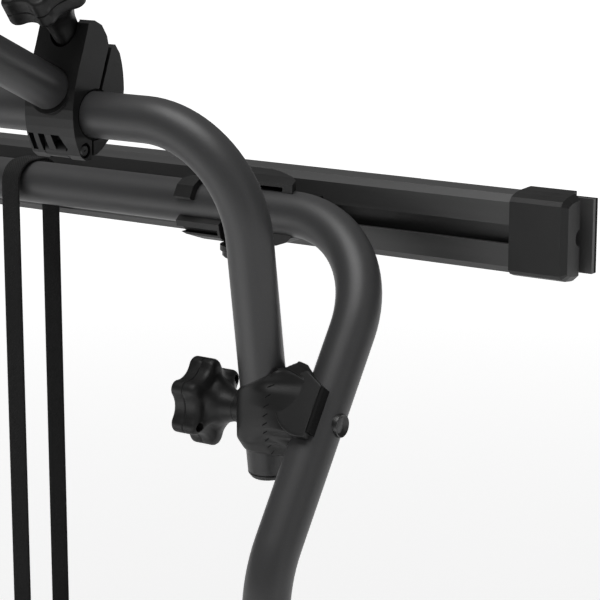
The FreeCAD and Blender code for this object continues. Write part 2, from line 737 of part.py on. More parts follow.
def make_rail_clamps():
    """Two-piece clamps that hold the frame's top bar in front of the upper rail."""
    bar_y = d["frame_bar_y"]
    bar_z = d["frame_bar_z"]
    bore = tube_radius + seat_gap
    back = rail_front - seat_gap
    half = d["clamp_length"] / 2.0
    top = half_height
    bottom = -d["clamp_bottom"]
    upper_low = bar_z - d["clamp_split"] + d["clamp_split_gap"] / 2.0
    lower_high = bar_z - d["clamp_split"] - d["clamp_split_gap"] / 2.0
    span = d["slot_screw_span"] / 2.0
    bolt_hole = d["clamp_bolt_hole"] / 2.0
    screw_hole = d["slot_screw"] / 2.0 + seat_gap
    head_hole = d["slot_screw_head"] + seat_gap
    head_seat = rail_front - d["slot_screw_grip"]
    lip_end = d["clamp_lip"] - half

    upper = new_body("clamp_upper")
    prism(upper, "Pad", "clamp_upper_block", "YZ_Plane", -half, half, [[
        (back, upper_low), (back, top), (bar_y + 9.5, top), (bar_y - 5.2, top - 2.0),
        (bar_y - 5.2, bar_z + 8.0), (bar_y + 4.0, upper_low)]])
    prism(upper, "Pad", "clamp_upper_hook", "YZ_Plane", -half, 14.0 - half, [[
        (bar_y + 5.0, bar_z + 6.0), (bar_y + 5.0, top - 1.0), (bar_y - 6.0, top - 3.0),
        (bar_y - bore, bar_z + 14.0), (bar_y - bore - 4.5, bar_z + 6.5),
        (bar_y - bore - 3.0, bar_z + 4.8), (bar_y - 10.0, bar_z + 3.0)]])
    prism(upper, "Pocket", "clamp_upper_bore", "YZ_Plane", half * -2.0, half * 2.0,
          circles=[(bar_y, bar_z, bore)])
    prism(upper, "Pocket", "clamp_upper_relief", "YZ_Plane", 14.0 - half, half - 8.0,
          circles=[(bar_y, bar_z, bore + 3.2)])
    prism(upper, "Pocket", "clamp_upper_shoulder", "XZ_Plane", bar_y * 2.0, d["rail_depth"], [[
        (half * -0.45, top + 1.0), (half * -0.45, top), (half * -0.8, top - 1.7), (-half, top - 5.0),
        (half * -1.1, top - 5.0), (half * -1.1, top + 1.0)]])
    prism(upper, "Pocket", "clamp_upper_corner", "XY_Plane", d["clamp_ledge"], top * 2.0, [[
        (half * -0.05, rail_front + 2.0), (half * 0.25, rail_front - 4.5), (half * 0.48, rail_front - 11.0),
        (half * 0.72, rail_front - 19.0), (half * 0.91, rail_front - 27.0), (half * 1.01, bar_y - 5.5),
        (half * 1.4, bar_y - 5.5), (half * 1.4, rail_front + 2.0)]])
    prism(upper, "Pocket", "clamp_upper_bolt", "XY_Plane", -top, top * 2.0,
          circles=[(0.0, bar_y, bolt_hole)])
    prism(upper, "Pocket", "clamp_upper_screws", "XZ_Plane", bar_y, d["rail_depth"],
          circles=[(span, 0.0, screw_hole), (-span, 0.0, screw_hole)])
    prism(upper, "Pocket", "clamp_upper_heads", "XZ_Plane", bar_y - 2.0, head_seat,
          circles=[(span, 0.0, head_hole), (-span, 0.0, head_hole)])
    keep_both(place(upper, clamp_x), "rail_clamp_upper_jaw")

    lower = new_body("clamp_lower")
    prism(lower, "Pad", "clamp_lower_block", "YZ_Plane", -half, half, [[
        (back, lower_high), (back, bottom), (bar_y + 1.0, bottom), (bar_y - 7.5, bottom + 3.5),
        (bar_y - 7.5, bar_z - 12.0), (bar_y - 1.0, lower_high)]])
    prism(lower, "Pad", "clamp_lower_lip", "YZ_Plane", -half, lip_end, [[
        (bar_y, bottom + 0.5), (bar_y - 8.0, bottom + 1.5), (bar_y - 15.0, bottom + 5.0),
        (bar_y - bore - 2.0, bar_z - 10.5), (bar_y - bore + 2.0, bar_z - 7.6), (bar_y, bar_z - 9.0)]])
    prism(lower, "Pocket", "clamp_lower_bore", "YZ_Plane", half * -2.0, half * 2.0,
          circles=[(bar_y, bar_z, bore)])
    prism(lower, "Pocket", "clamp_lower_slit", "YZ_Plane", half * -2.0, lip_end - 2.0, [[
        (bar_y - 10.2, bar_z - 14.6), (bar_y - 10.2, bar_z - 18.2),
        (bar_y - 30.0, bar_z - 18.2), (bar_y - 30.0, bar_z - 14.6)]])
    corners = []
    for sign in (1.0, -1.0):
        corners.append([(half * 1.1 * sign, bottom - 1.0), (half * 1.1 * sign, bottom + 11.5),
                        (half * sign, bottom + 9.5), (half * 0.93 * sign, bottom + 6.5),
                        (half * 0.72 * sign, bottom + 3.0), (half * 0.5 * sign, bottom),
                        (half * 0.5 * sign, bottom - 1.0)])
    prism(lower, "Pocket", "clamp_lower_corners", "XZ_Plane", bar_y * 2.0, d["rail_depth"], corners)
    prism(lower, "Pocket", "clamp_lower_bolt", "XY_Plane", bottom * 2.0, top,
          circles=[(0.0, bar_y, bolt_hole)])
    keep_both(place(lower, clamp_x), "rail_clamp_lower_jaw")

    radius = d["clamp_bolt"] / 2.0
    head = d["clamp_bolt_head"]
    nut = d["clamp_nut_radius"]
    nut_low = bottom - d["clamp_nut_height"]
    bolt = new_body("clamp_bolt_body")
    revolve(bolt, "clamp_bolt_shape", [
        (0.0, top + 4.4), (3.0, top + 4.4), (head * 0.7, top + 3.6), (head, top + seat_gap + 1.0),
        (head, top + seat_gap), (radius, top + seat_gap), (radius, nut_low + 2.5), (0.0, nut_low + 2.5)])
    keep(group("clamp_bolt_group", bolt, both_sides(clamp_x, bar_y, 0.0)), "rail_clamp_bolts")
    cap_nut = new_body("clamp_nut_body")
    revolve(cap_nut, "clamp_nut_shape", [
        (radius + run_gap, bottom - seat_gap), (nut, bottom - seat_gap), (nut, bottom - 4.0),
        (nut - 1.5, bottom - 5.0), (nut - 1.5, nut_low + 1.5), (nut - 3.0, nut_low),
        (radius + run_gap, nut_low)])
    keep(group("clamp_nut_group", cap_nut, both_sides(clamp_x, bar_y, 0.0)), "rail_clamp_cap_nuts")


def make_slot_fixings():
    """Sliding nuts in the rails' slots with the screws of the clamps and feet."""
    span = d["slot_screw_span"] / 2.0
    screw = d["slot_screw"] / 2.0
    nut_back = rail_front + d["slot_lip"] + seat_gap
    half_length = d["slot_nut_length"] / 2.0
    half_width = d["slot_width"] / 2.0 - seat_gap
    nut = new_body("slot_nut")
    prism(nut, "Pad", "slot_nut_plate", "YZ_Plane", -half_length, half_length, [[
        (nut_back, half_width), (nut_back, -half_width),
        (nut_back + d["slot_nut_thickness"], -half_width),
        (nut_back + d["slot_nut_thickness"], half_width)]])
    prism(nut, "Pocket", "slot_nut_threads", "XZ_Plane", rail_front, 0.0,
          circles=[(span, 0.0, screw + run_gap), (-span, 0.0, screw + run_gap)])
    places = both_sides(clamp_x, 0.0, 0.0) + both_sides(leg_x, 0.0, low_rail)
    keep(group("slot_nut_group", nut, places), "slot_nuts")

    head = d["slot_screw_head"]
    seat = rail_front - d["slot_screw_grip"]
    tip = nut_back + d["slot_nut_thickness"] + seat_gap * 2.0 - seat
    bolt = new_body("slot_screw_body")
    revolve(bolt, "slot_screw_shape", [
        (0.0, -2.0), (2.4, -2.0), (2.4, -5.6), (head - 0.8, -5.6), (head, -4.8), (head, 0.0),
        (screw, 0.0), (screw, tip), (0.0, tip)])
    places = []
    for x, z in ((clamp_x, 0.0), (leg_x, low_rail)):
        places += both_sides(x + span, seat, z, tilt(-90.0))
        places += both_sides(x - span, seat, z, tilt(-90.0))
    keep(group("slot_screw_group", bolt, places), "slot_screws")


def make_feet():
    """Sockets that carry the lower ends of the legs on the lower rail."""
    back = rail_front - seat_gap
    front = rail_front - d["foot_socket"]
    flange = rail_front - d["slot_screw_grip"]
    half = d["foot_width"] / 2.0
    tall = d["foot_height"] / 2.0
    corner = tall / 2.0
    span = d["slot_screw_span"] / 2.0
    bore = tube_radius + run_gap
    bottom = front + d["foot_insertion"] + seat_gap
    bolt_y = front + d["foot_insertion"] / 2.0
    bolt_hole = d["clamp_bolt_hole"] / 2.0
    body = new_body("foot")
    prism(body, "Pad", "foot_flange", "XZ_Plane", flange, back, [[
        (-half, corner - tall), (-half, tall - corner), (corner - half, tall), (half - corner, tall),
        (half, tall - corner), (half, corner - tall), (half - corner, -tall), (corner - half, -tall)]])
    prism(body, "Pad", "foot_barrel", "XZ_Plane", front, flange + 1.0,
          circles=[(0.0, 0.0, bore + d["foot_wall"])])
    prism(body, "Pocket", "foot_bore", "XZ_Plane", front * 2.0, bottom, circles=[(0.0, 0.0, bore)])
    prism(body, "Pocket", "foot_screws", "XZ_Plane", flange * 2.0, d["rail_depth"],
          circles=[(span, 0.0, d["slot_screw"] / 2.0 + seat_gap),
                   (-span, 0.0, d["slot_screw"] / 2.0 + seat_gap)])
    prism(body, "Pocket", "foot_bolt_hole", "XY_Plane", tall * -2.0, tall * 2.0,
          circles=[(0.0, bolt_y, bolt_hole)])
    keep_both(place(body, leg_x, 0.0, low_rail), "foot_socket")

    radius = d["clamp_bolt"] / 2.0
    head = d["clamp_bolt_head"]
    reach = bore + d["foot_wall"] + seat_gap
    bolt = new_body("foot_bolt")
    revolve(bolt, "foot_bolt_shape", [
        (0.0, reach + 4.5), (head * 0.6, reach + 4.5), (head, reach + 1.5), (head, reach),
        (radius, reach), (radius, -reach), (head * 0.9, -reach), (head * 0.9, -6.0 - reach),
        (radius, -8.0 - reach), (0.0, -8.0 - reach)])
    keep(group("foot_bolt_group", bolt, both_sides(leg_x, bolt_y, low_rail)), "foot_bolts")


def make_couplings():
    """Blocks on the frame's legs in which the inner bar's legs slide."""
    x = leg_x
    y = coupling_y
    bar_y = coupling_bar_y
    z = d["coupling_z"]
    bar_x = bar_leg_x
    start = bar_x - tube_radius - d["coupling_inboard"]
    rim = d["coupling_rim"]
    end = x - tube_radius - seat_gap
    growth = d["coupling_growth"]
    collar = tube_radius + d["coupling_wall"]
    leg_bore = tube_radius + d["coupling_liner"] + run_gap
    pad = d["coupling_disc"]
    height = d["coupling_disc_height"]
    lean = math.radians(float(d["frame_lean"]))
    low = math.radians(float(d["bar_lean"]))
    reach = rim * 3.0
    out = FreeCAD.Vector(0, -math.cos(lean), math.sin(lean))
    up = FreeCAD.Vector(0, math.sin(lean), math.cos(lean))

    # The drum is planed off along the front pad's upper inner edge and falls away below it.
    edge = up * math.cos(math.radians(30)) - X_AXIS * math.sin(math.radians(30))
    slope = math.tan(math.radians(float(d["coupling_slope"])))
    face = (out - edge * slope).normalize()
    corner = toward(face).multVec(FreeCAD.Vector(-float(reach), -float(reach), 0))
    on_face = out * float(height) + edge * float(pad) + corner
    taper = cone("coupling_taper", d["coupling_neck"], rim, growth, start, y, z, ALONG_X)
    drum = cylinder("coupling_drum", rim, end - start - growth, start + growth, y, z, ALONG_X)
    above = box("coupling_above", reach * 2.0, reach * 2.0, reach,
                x + on_face.x, y + on_face.y, z + on_face.z, toward(face))
    planed = cut("coupling_planed", fuse("coupling_round", taper, drum), above)
    sleeve = cylinder("coupling_sleeve", collar, d["coupling_drop"] + d["coupling_rise"], bar_x,
                      bar_y + d["coupling_drop"] * math.sin(low),
                      z - d["coupling_drop"] * math.cos(low), bar_turn)
    disc = cylinder("coupling_disc", pad, height, x, y, z, frame_front_turn)
    solid = fuse("coupling_solid", planed, sleeve, disc)
    bar_bore = cylinder("coupling_bar_bore", tube_radius + run_gap, reach * 2.0, bar_x,
                        bar_y + reach * math.sin(low), z - reach * math.cos(low), bar_turn)
    leg_hole = cylinder("coupling_leg_bore", leg_bore, reach * 2.0, x,
                        y - reach * math.sin(lean), z - reach * math.cos(lean), frame_turn)
    below_liner = reach + d["coupling_liner_length"] / 2.0
    relief = cylinder("coupling_relief", d["coupling_relief"], reach, x,
                      y - below_liner * math.sin(lean), z - below_liner * math.cos(lean), frame_turn)
    outside = box("coupling_outside", reach, reach * 2.0, reach * 2.0,
                  x + d["coupling_overlap"], y - reach, z - reach)
    below = box("coupling_below", reach * 2.0, reach * 2.0, reach,
                x - reach, y - reach * math.cos(low) + (d["coupling_drop"] + reach) * math.sin(low),
                z - reach * math.sin(low) - (d["coupling_drop"] + reach) * math.cos(low), bar_turn)
    stud_hole = cylinder("coupling_stud_hole", d["knob_stud"] / 2.0 + run_gap, d["coupling_inboard"] * 3.0,
                         start - d["coupling_inboard"], y, z, ALONG_X)
    bolt_hole = cylinder("coupling_bolt_hole", d["coupling_bolt"] / 2.0 + run_gap, rim,
                         bar_x + tube_radius - 2.0, y, z, ALONG_X)
    block = cut("coupling_block", solid, bar_bore, leg_hole, relief, outside, below, stud_hole, bolt_hole)
    keep_both(block, "coupling_block")

    length = d["coupling_liner_length"]
    outer = tube_radius + d["coupling_liner"]
    ring = cylinder("liner_outer", outer, length, 0.0, 0.0, length / -2.0)
    hole = cylinder("liner_inner", tube_radius + run_gap, length * 2.0, 0.0, 0.0, -length)
    ring_part = box("liner_part", outer + d["coupling_overlap"] + d["liner_strip"], tube_radius * 2.0,
                    length, -outer, tube_radius * -1.5, length / -2.0)
    strip = box("liner_strip", d["liner_strip"], d["liner_strip_height"], length,
                d["coupling_overlap"], -d["liner_strip_height"], length / -2.0)
    shell = fuse("liner_shell", common("liner_ring", ring, ring_part), strip)
    drill = cylinder("liner_drill", d["coupling_bolt"] / 2.0 + seat_gap, reach, -reach, 0.0, 0.0, ALONG_X)
    right = place(cut("liner_drilled", shell, hole, drill), x, y, z, frame_turn)
    doc.recompute()
    left = right.Shape.mirror(FreeCAD.Vector(0, 0, 0), X_AXIS)
    keep(computed("coupling_pad_group", Part.makeCompound([right.Shape, left])), "coupling_pads")

    radius = d["coupling_bolt"] / 2.0
    head = d["coupling_bolt_head"]
    base = tube_radius + seat_gap
    tip = bar_x + seat_gap * 2.0 - end
    bolt = new_body("coupling_bolt_body")
    revolve(bolt, "coupling_bolt_shape", [
        (0.0, base + 1.0), (2.8, base + 1.0), (2.8, base + 3.0), (4.5, base + 3.0),
        (head - 1.2, base + 2.2), (head, base + 0.8), (head, base), (radius, base),
        (radius, tip), (0.0, tip)])
    places = [at(x, y, z, ALONG_X), at(-x, y, z, ALONG_X.inverted())]
    keep(group("coupling_bolt_group", bolt, places), "coupling_bolts")
    return start


def make_star_knob(name, stem, stud):
    """A six-lobed hand knob with its outer face toward +Z and its stud toward -Z."""
    rim = d["knob_radius"]
    thick = d["knob_thickness"]
    cone_end = -d["knob_stem_length"]
    hub = d["knob_hub_radius"]
    body = new_body(name)
    outline = [
        (0.0, thick), (rim - 6.0, thick), (rim - 2.2, thick - 1.2), (rim - 0.4, thick - 3.6),
        (rim, thick / 2.0), (rim - 0.4, 3.6), (rim - 2.2, 1.2), (rim - 5.0, 0.0),
        (hub + 2.0, -0.6), (hub - 1.0, -2.4), (hub - 4.5, -6.0), (hub - 7.0, cone_end * 0.6),
        (d["knob_stem_radius"] + 0.6, cone_end * 0.82), (d["knob_stem_radius"], cone_end)]
    if float(stem) > float(d["knob_stem_length"]):
        outline.append((d["knob_stem_radius"] - 1.0, 4.0 - stem))
        outline.append((d["knob_stem_radius"] - 3.0, -stem))
    outline.append((0.0, outline[-1][1]))
    revolve(body, name + "_shape", outline)
    valley = prism(body, "Pocket", name + "_valley", "XY_Plane", thick * -2.0, thick * 2.0,
                   circles=[(d["knob_valley_reach"] * math.cos(math.pi / LOBES),
                             d["knob_valley_reach"] * math.sin(math.pi / LOBES), d["knob_valley"])])
    repeat_round(body, [valley], LOBES)
    pocket = prism(body, "Pocket", name + "_pocket", "XY_Plane", -thick, thick * 0.5,
                   circles=[(d["knob_pocket_reach"], 0.0, d["knob_pocket"])])
    repeat_round(body, [pocket], LOBES)
    prism(body, "Pad", name + "_stud", "XY_Plane", -(stem + stud), thick * 0.5,
          circles=[(0.0, 0.0, d["knob_stud"] / 2.0)])
    return body


def make_coupling_knobs(start):
    """The knobs whose studs press on the inner bar's legs."""
    stud = d["coupling_inboard"] - seat_gap * 2.0
    knob = make_star_knob("coupling_knob_body", d["knob_stem_length"], stud)
    x = start - d["knob_stem_length"] - seat_gap
    keep_both(place(knob, x, coupling_y, d["coupling_z"], ALONG_X.inverted()), "coupling_knob")


def make_inner_bar():
    """The height-adjustable bar that carries the bike arms, with its end plugs."""
    lean = math.radians(float(d["bar_lean"]))
    top_y = float(d["bar_top_y"])
    top_z = float(d["bar_top_z"])
    length = float(d["bar_leg_length"])
    end_y = top_y + length * math.sin(lean)
    end_z = top_z - length * math.cos(lean)
    x = float(bar_leg_x)
    shape = tube([FreeCAD.Vector(x, end_y, end_z), FreeCAD.Vector(x, top_y, top_z),
                  FreeCAD.Vector(-x, top_y, top_z), FreeCAD.Vector(-x, end_y, end_z)],
                 d["bar_bend"], d["tube_diameter"], d["tube_wall"])
    keep(computed("inner_bar", shape), "inner_bar_tube")
    plug = new_body("bar_plug")
    inside = tube_radius - d["tube_wall"] - run_gap
    flange = -d["plug_flange"]
    revolve(plug, "bar_plug_shape", [
        (0.0, d["plug_depth"]), (inside - 1.0, d["plug_depth"]), (inside, d["plug_depth"] - 3.0),
        (inside, 0.0), (tube_radius, 0.0), (tube_radius, flange / 2.0),
        (tube_radius - 1.5, flange * 2.0), (0.0, flange * 2.0)])
    places = both_sides(bar_leg_x, end_y, end_z, bar_turn)
    keep(group("bar_plug_group", plug, places), "inner_bar_plugs")


def around(centre_y, centre_z, bore, table):
    """Outline points from their angle and their distance beyond a bore."""
    points = []
    for angle, beyond in table:
        turned = math.radians(angle)
        points.append((centre_y + (bore + beyond) * math.cos(turned),
                       centre_z + (bore + beyond) * math.sin(turned)))
    return points


def make_arm_clamps():
    """Hinged clamps on the inner bar, each with a knob and a seat for a bike arm."""
    x = d["arm_x"]
    y = d["bar_top_y"]
    z = d["bar_top_z"]
    half = d["jaw_width"] / 2.0
    bore = tube_radius + d["liner_wall"] + run_gap
    hinge_y = y + d["jaw_hinge_y"]
    hinge_z = z + d["jaw_hinge_z"]
    knuckle = d["jaw_knuckle"]
    half_knuckle = d["jaw_knuckle_width"] / 2.0
    screw = d["jaw_hinge_screw"] / 2.0
    rise = math.radians(float(d["knob_rise"]))
    arm = math.radians(float(d["arm_rise"]))
    seat_y = y + d["stud_seat_y"]
    seat_z = z + d["stud_seat_z"]
    slope = float(d["jaw_lean"])

    ring = cylinder("arm_liner_ring", bore - run_gap, d["jaw_width"] - 1.0, x - half + 0.5, y, z, ALONG_X)
    hole = cylinder("arm_liner_hole", tube_radius + run_gap, half * 4.0, x - half * 2.0, y, z, ALONG_X)
    keep_both(cut("arm_liner_tube", ring, hole), "arm_liner")

    front = new_body("front_jaw")
    table = ((90.0 - slope + 2.0, 28.5), (74.0, 34.2), (80.9, 40.4), (88.1, 43.2), (93.9, 41.8),
             (102.4, 27.7), (118.3, 16.1), (139.3, 9.1), (153.0, 6.6), (167.4, 5.5), (183.0, 5.1),
             (198.9, 5.7), (212.0, 7.2), (222.9, 8.8), (239.2, 12.8), (250.8, 13.9), (262.1, 12.5))
    outline = around(y, z, bore, table)
    outline += [(y - 3.3, z - bore - 0.6), (y - 3.3, z - 6.0), (y - 1.5, z)]
    prism(front, "Pad", "front_jaw_outline", "YZ_Plane", -half, half, [outline])
    prism(front, "Pocket", "front_jaw_bore", "YZ_Plane", half * -2.0, half * 2.0, circles=[(y, z, bore)])
    prism(front, "Pocket", "front_jaw_fork", "YZ_Plane", -seat_gap - half_knuckle,
          half_knuckle + seat_gap, [[
              (hinge_y - knuckle - 0.8, hinge_z - knuckle * 3.0), (y, hinge_z - knuckle * 3.0),
              (y, z - 8.0), (hinge_y + 3.0, z - 8.0), (hinge_y - knuckle - 0.8, hinge_z + 4.0)]])
    prism(front, "Pocket", "front_jaw_pin_hole", "YZ_Plane", half * -2.0, half * 2.0,
          circles=[(hinge_y, hinge_z, screw + run_gap)])
    prism(front, "Pocket", "front_jaw_counterbore", "YZ_Plane", half - 3.0, half * 2.0,
          circles=[(hinge_y, hinge_z, screw * 2.0)])
    place(front, x)
    ribs = new_body("front_jaw_ribs")
    prism(ribs, "Pad", "front_jaw_slots", "XZ_Plane", y * 2.0, y - bore + 2.4, [
        [(-18.9, z - 12.2), (-14.7, z - 12.2), (-14.0, z - 23.3), (-18.0, z - 23.3)],
        [(-10.8, z - 12.2), (-5.7, z - 12.2), (-4.2, z - 23.6), (-9.9, z - 23.6)],
        [(-0.2, z - 12.2), (6.7, z - 12.4), (9.1, z - 17.0), (11.2, z - 21.3), (8.6, z - 23.2),
         (1.5, z - 23.6)]])
    place(ribs, x)
    bore_wall = cylinder("front_jaw_bore_wall", bore + d["slot_rib_wall"], half * 4.0,
                         x - half * 2.0, y, z, ALONG_X)
    slots = cut("front_jaw_slot_tool", ribs, bore_wall)
    along_y = math.cos(arm) * -1.0
    along_z = math.sin(arm)
    axis_y = y + d["arm_offset"] * math.sin(arm)
    axis_z = z + d["arm_offset"] * math.cos(arm)
    pad_start = 6.0
    inside = d["arm_diameter"] / 2.0 - d["tube_wall"] - run_gap
    pad = cylinder("arm_pad", d["arm_diameter"] / 2.0 + 2.4, d["arm_root"] - seat_gap - pad_start, x,
                   axis_y + along_y * pad_start, axis_z + along_z * pad_start, arm_turn)
    spigot = cylinder("arm_spigot", inside, d["arm_spigot"] + 4.0, x,
                      axis_y + (d["arm_root"] - 4.0) * along_y, axis_z + (d["arm_root"] - 4.0) * along_z,
                      arm_turn)
    way_start = d["arm_root"] - seat_gap
    arm_way = cylinder("front_jaw_arm_way", d["arm_diameter"] / 2.0 + seat_gap, half * 4.0, x,
                       axis_y + along_y * way_start, axis_z + along_z * way_start, arm_turn)
    seated = cut("front_jaw_seated", fuse("front_jaw_blank", front, pad), arm_way)
    solid = fuse("front_jaw_solid", seated, spigot)
    clear_bore = cylinder("front_jaw_clear_bore", bore, half * 4.0, x - half * 2.0, y, z, ALONG_X)
    recess = cylinder("front_jaw_recess", d["stud_recess"], d["stud_recess"] * 4.0, x, seat_y, seat_z,
                      knob_turn)
    reach = d["stud_recess"] * 4.0
    stud_hole = cylinder("front_jaw_stud_hole", d["knob_stud"] / 2.0 + seat_gap, reach * 2.0, x,
                         seat_y + reach * math.cos(rise), seat_z - reach * math.sin(rise), knob_turn)
    keep_both(cut("front_jaw_cut", solid, clear_bore, recess, stud_hole, slots), "arm_front_jaw")

    rear = new_body("rear_jaw")
    table = ((90.0 - slope - 2.0, 28.4), (62.8, 31.5), (54.2, 28.7), (47.0, 25.0), (40.1, 21.9),
             (31.0, 18.4), (23.1, 16.1), (10.0, 12.4), (-2.5, 10.9), (-16.0, 8.8), (-30.2, 7.7),
             (-44.0, 6.4), (-58.0, 6.0), (-74.0, 7.6), (-87.8, 9.4))
    outline = around(y, z, bore, table)
    outline += [(y - 1.8, z - bore - 9.6), (y - 1.8, z - 6.0), (y + 1.5, z)]
    prism(rear, "Pad", "rear_jaw_outline", "YZ_Plane", -half, half, [outline])
    prism(rear, "Pad", "rear_jaw_tail", "YZ_Plane", -half_knuckle, half_knuckle, [[
        (y, z - bore - 0.8), (hinge_y, hinge_z + knuckle - 0.6), (hinge_y, hinge_z - knuckle + 0.3),
        (y, z - bore - 9.4)]])
    prism(rear, "Pad", "rear_jaw_knuckle", "YZ_Plane", -half_knuckle, half_knuckle,
          circles=[(hinge_y, hinge_z, knuckle)])
    prism(rear, "Pocket", "rear_jaw_bore", "YZ_Plane", half * -2.0, half * 2.0,
          circles=[(y, z, bore + seat_gap)])
    prism(rear, "Pocket", "rear_jaw_pin_hole", "YZ_Plane", half * -2.0, half * 2.0,
          circles=[(hinge_y, hinge_z, screw + run_gap)])
    place(rear, x)
    rear_hole = cylinder("rear_jaw_stud_hole", d["knob_stud"] / 2.0 + 1.3, reach * 2.0, x,
                         seat_y + reach * math.cos(rise), seat_z - reach * math.sin(rise), knob_turn)
    keep_both(cut("rear_jaw_cut", rear, rear_hole), "arm_rear_jaw")

    pin = new_body("jaw_screw")
    head = screw * 1.7
    length = d["jaw_width"] - 4.5
    revolve(pin, "jaw_screw_shape", [
        (0.0, 1.2), (0.7, 1.2), (0.7, 2.2), (head - 1.2, 2.2), (head, 1.0), (head, 0.0),
        (screw, 0.0), (screw, -length), (0.0, -length)])
    keep_both(place(pin, x + half - 2.7, hinge_y, hinge_z, ALONG_X), "arm_hinge_screw")

    knob = make_star_knob("arm_knob_body", d["arm_knob_stem"], d["arm_knob_stud"])
    lift = d["arm_knob_stem"] + seat_gap
    keep_both(place(knob, x, seat_y - lift * math.cos(rise), seat_z + lift * math.sin(rise), knob_turn),
              "arm_knob")


def make_arm(name, side, length):
    """One bike arm with its claw, built on the right and mirrored for the left."""
    x = d["arm_x"]
    arm = math.radians(float(d["arm_rise"]))
    axis_y = d["bar_top_y"] + d["arm_offset"] * math.sin(arm)
    axis_z = d["bar_top_z"] + d["arm_offset"] * math.cos(arm)
    radius = d["arm_diameter"] / 2.0
    root = d["arm_root"]

    def along(distance):
        return (x, axis_y - distance * math.cos(arm), axis_z + distance * math.sin(arm), arm_turn)

    outer = cylinder(name + "_outer", radius, length, *along(root))
    inner = cylinder(name + "_inner", radius - d["tube_wall"], length * 2.0, *along(root - length / 2.0))
    pieces = [(cut(name + "_tube", outer, inner), "arm_tube_")]

    wall = d["claw_wall"]
    half = d["claw_width"] / 2.0
    socket = radius + run_gap + d["claw_socket_wall"]
    top = d["claw_height"]
    far = wall + d["claw_gap"]
    screw_y = d["claw_screw_rise"]
    corner = wall * 0.6
    base = new_body(name + "_claw")
    prism(base, "Pad", name + "_claw_socket", "XY_Plane", -d["claw_socket"], 1.0,
          circles=[(0.0, 0.0, socket)])
    prism(base, "Pad", name + "_claw_frame", "YZ_Plane", -half, half, [[
        (-socket, seat_gap), (top - corner, seat_gap), (top, seat_gap + corner), (top, wall),
        (wall - socket, wall), (wall - socket, far), (top, far), (top, far + wall - corner),
        (top - corner, far + wall), (corner - socket, far + wall), (-socket, far + wall - corner)]])
    prism(base, "Pocket", name + "_claw_bore", "XY_Plane", d["claw_socket"] * -2.0, seat_gap,
          circles=[(0.0, 0.0, radius + run_gap)])
    prism(base, "Pocket", name + "_claw_thread", "XY_Plane", far - wall, far + wall * 2.0,
          circles=[(0.0, screw_y, d["claw_screw"] / 2.0 + seat_gap)])
    grip = wall - socket + seat_gap * 2.0
    end = root + length
    pieces.append((place(base, *along(end)), "claw_base_"))

    pad_back = far - seat_gap
    pad_front = pad_back - d["claw_pad"]
    pad = new_body(name + "_pad")
    prism(pad, "Pad", name + "_pad_plate", "YZ_Plane", half * -0.88, half * 0.88, [[
        (grip, pad_front), (grip + 12.0, pad_front), (screw_y, pad_front + 2.6),
        (top - 12.0, pad_front), (top - 1.0, pad_front), (top - 1.0, pad_back - 2.0),
        (top - 3.0, pad_back), (grip, pad_back)]])
    prism(pad, "Pocket", name + "_pad_socket", "XY_Plane", pad_back - 3.0, pad_back * 2.0,
          circles=[(0.0, screw_y, d["claw_screw"] / 2.0 + run_gap)])
    pieces.append((place(pad, *along(end)), "claw_pad_"))

    knob_start = far + wall + d["claw_travel"] + 2.0
    rim = d["claw_knob_radius"]
    knob = new_body(name + "_knob")
    revolve(knob, name + "_knob_shape", [
        (0.0, knob_start + 20.0), (rim - 4.0, knob_start + 20.0), (rim - 1.0, knob_start + 18.5),
        (rim, knob_start + 13.0), (rim - 1.0, knob_start + 7.5), (rim - 4.0, knob_start + 6.0),
        (rim * 0.6, knob_start + 6.0), (rim * 0.45, knob_start), (d["claw_screw"] / 2.0, knob_start),
        (d["claw_screw"] / 2.0, pad_back - 2.7), (0.0, pad_back - 2.7)])
    valley = prism(knob, "Pocket", name + "_knob_valley", "XY_Plane", knob_start + 3.0, knob_start + 30.0,
                   circles=[(rim * 1.2 * math.cos(math.pi / LOBES), rim * 1.2 * math.sin(math.pi / LOBES),
                             rim * 0.37)])
    repeat_round(knob, [valley], LOBES)
    arm_x, arm_y, arm_z, rotation = along(end)
    lift_y = arm_y + screw_y * math.sin(arm)
    lift_z = arm_z + screw_y * math.cos(arm)
    pieces.append((place(knob, arm_x, lift_y, lift_z, rotation), "claw_knob_"))
    for thing, label in pieces:
        if side == "left":
            thing = mirrored(label + "twin", thing)
        keep(thing, label + side)


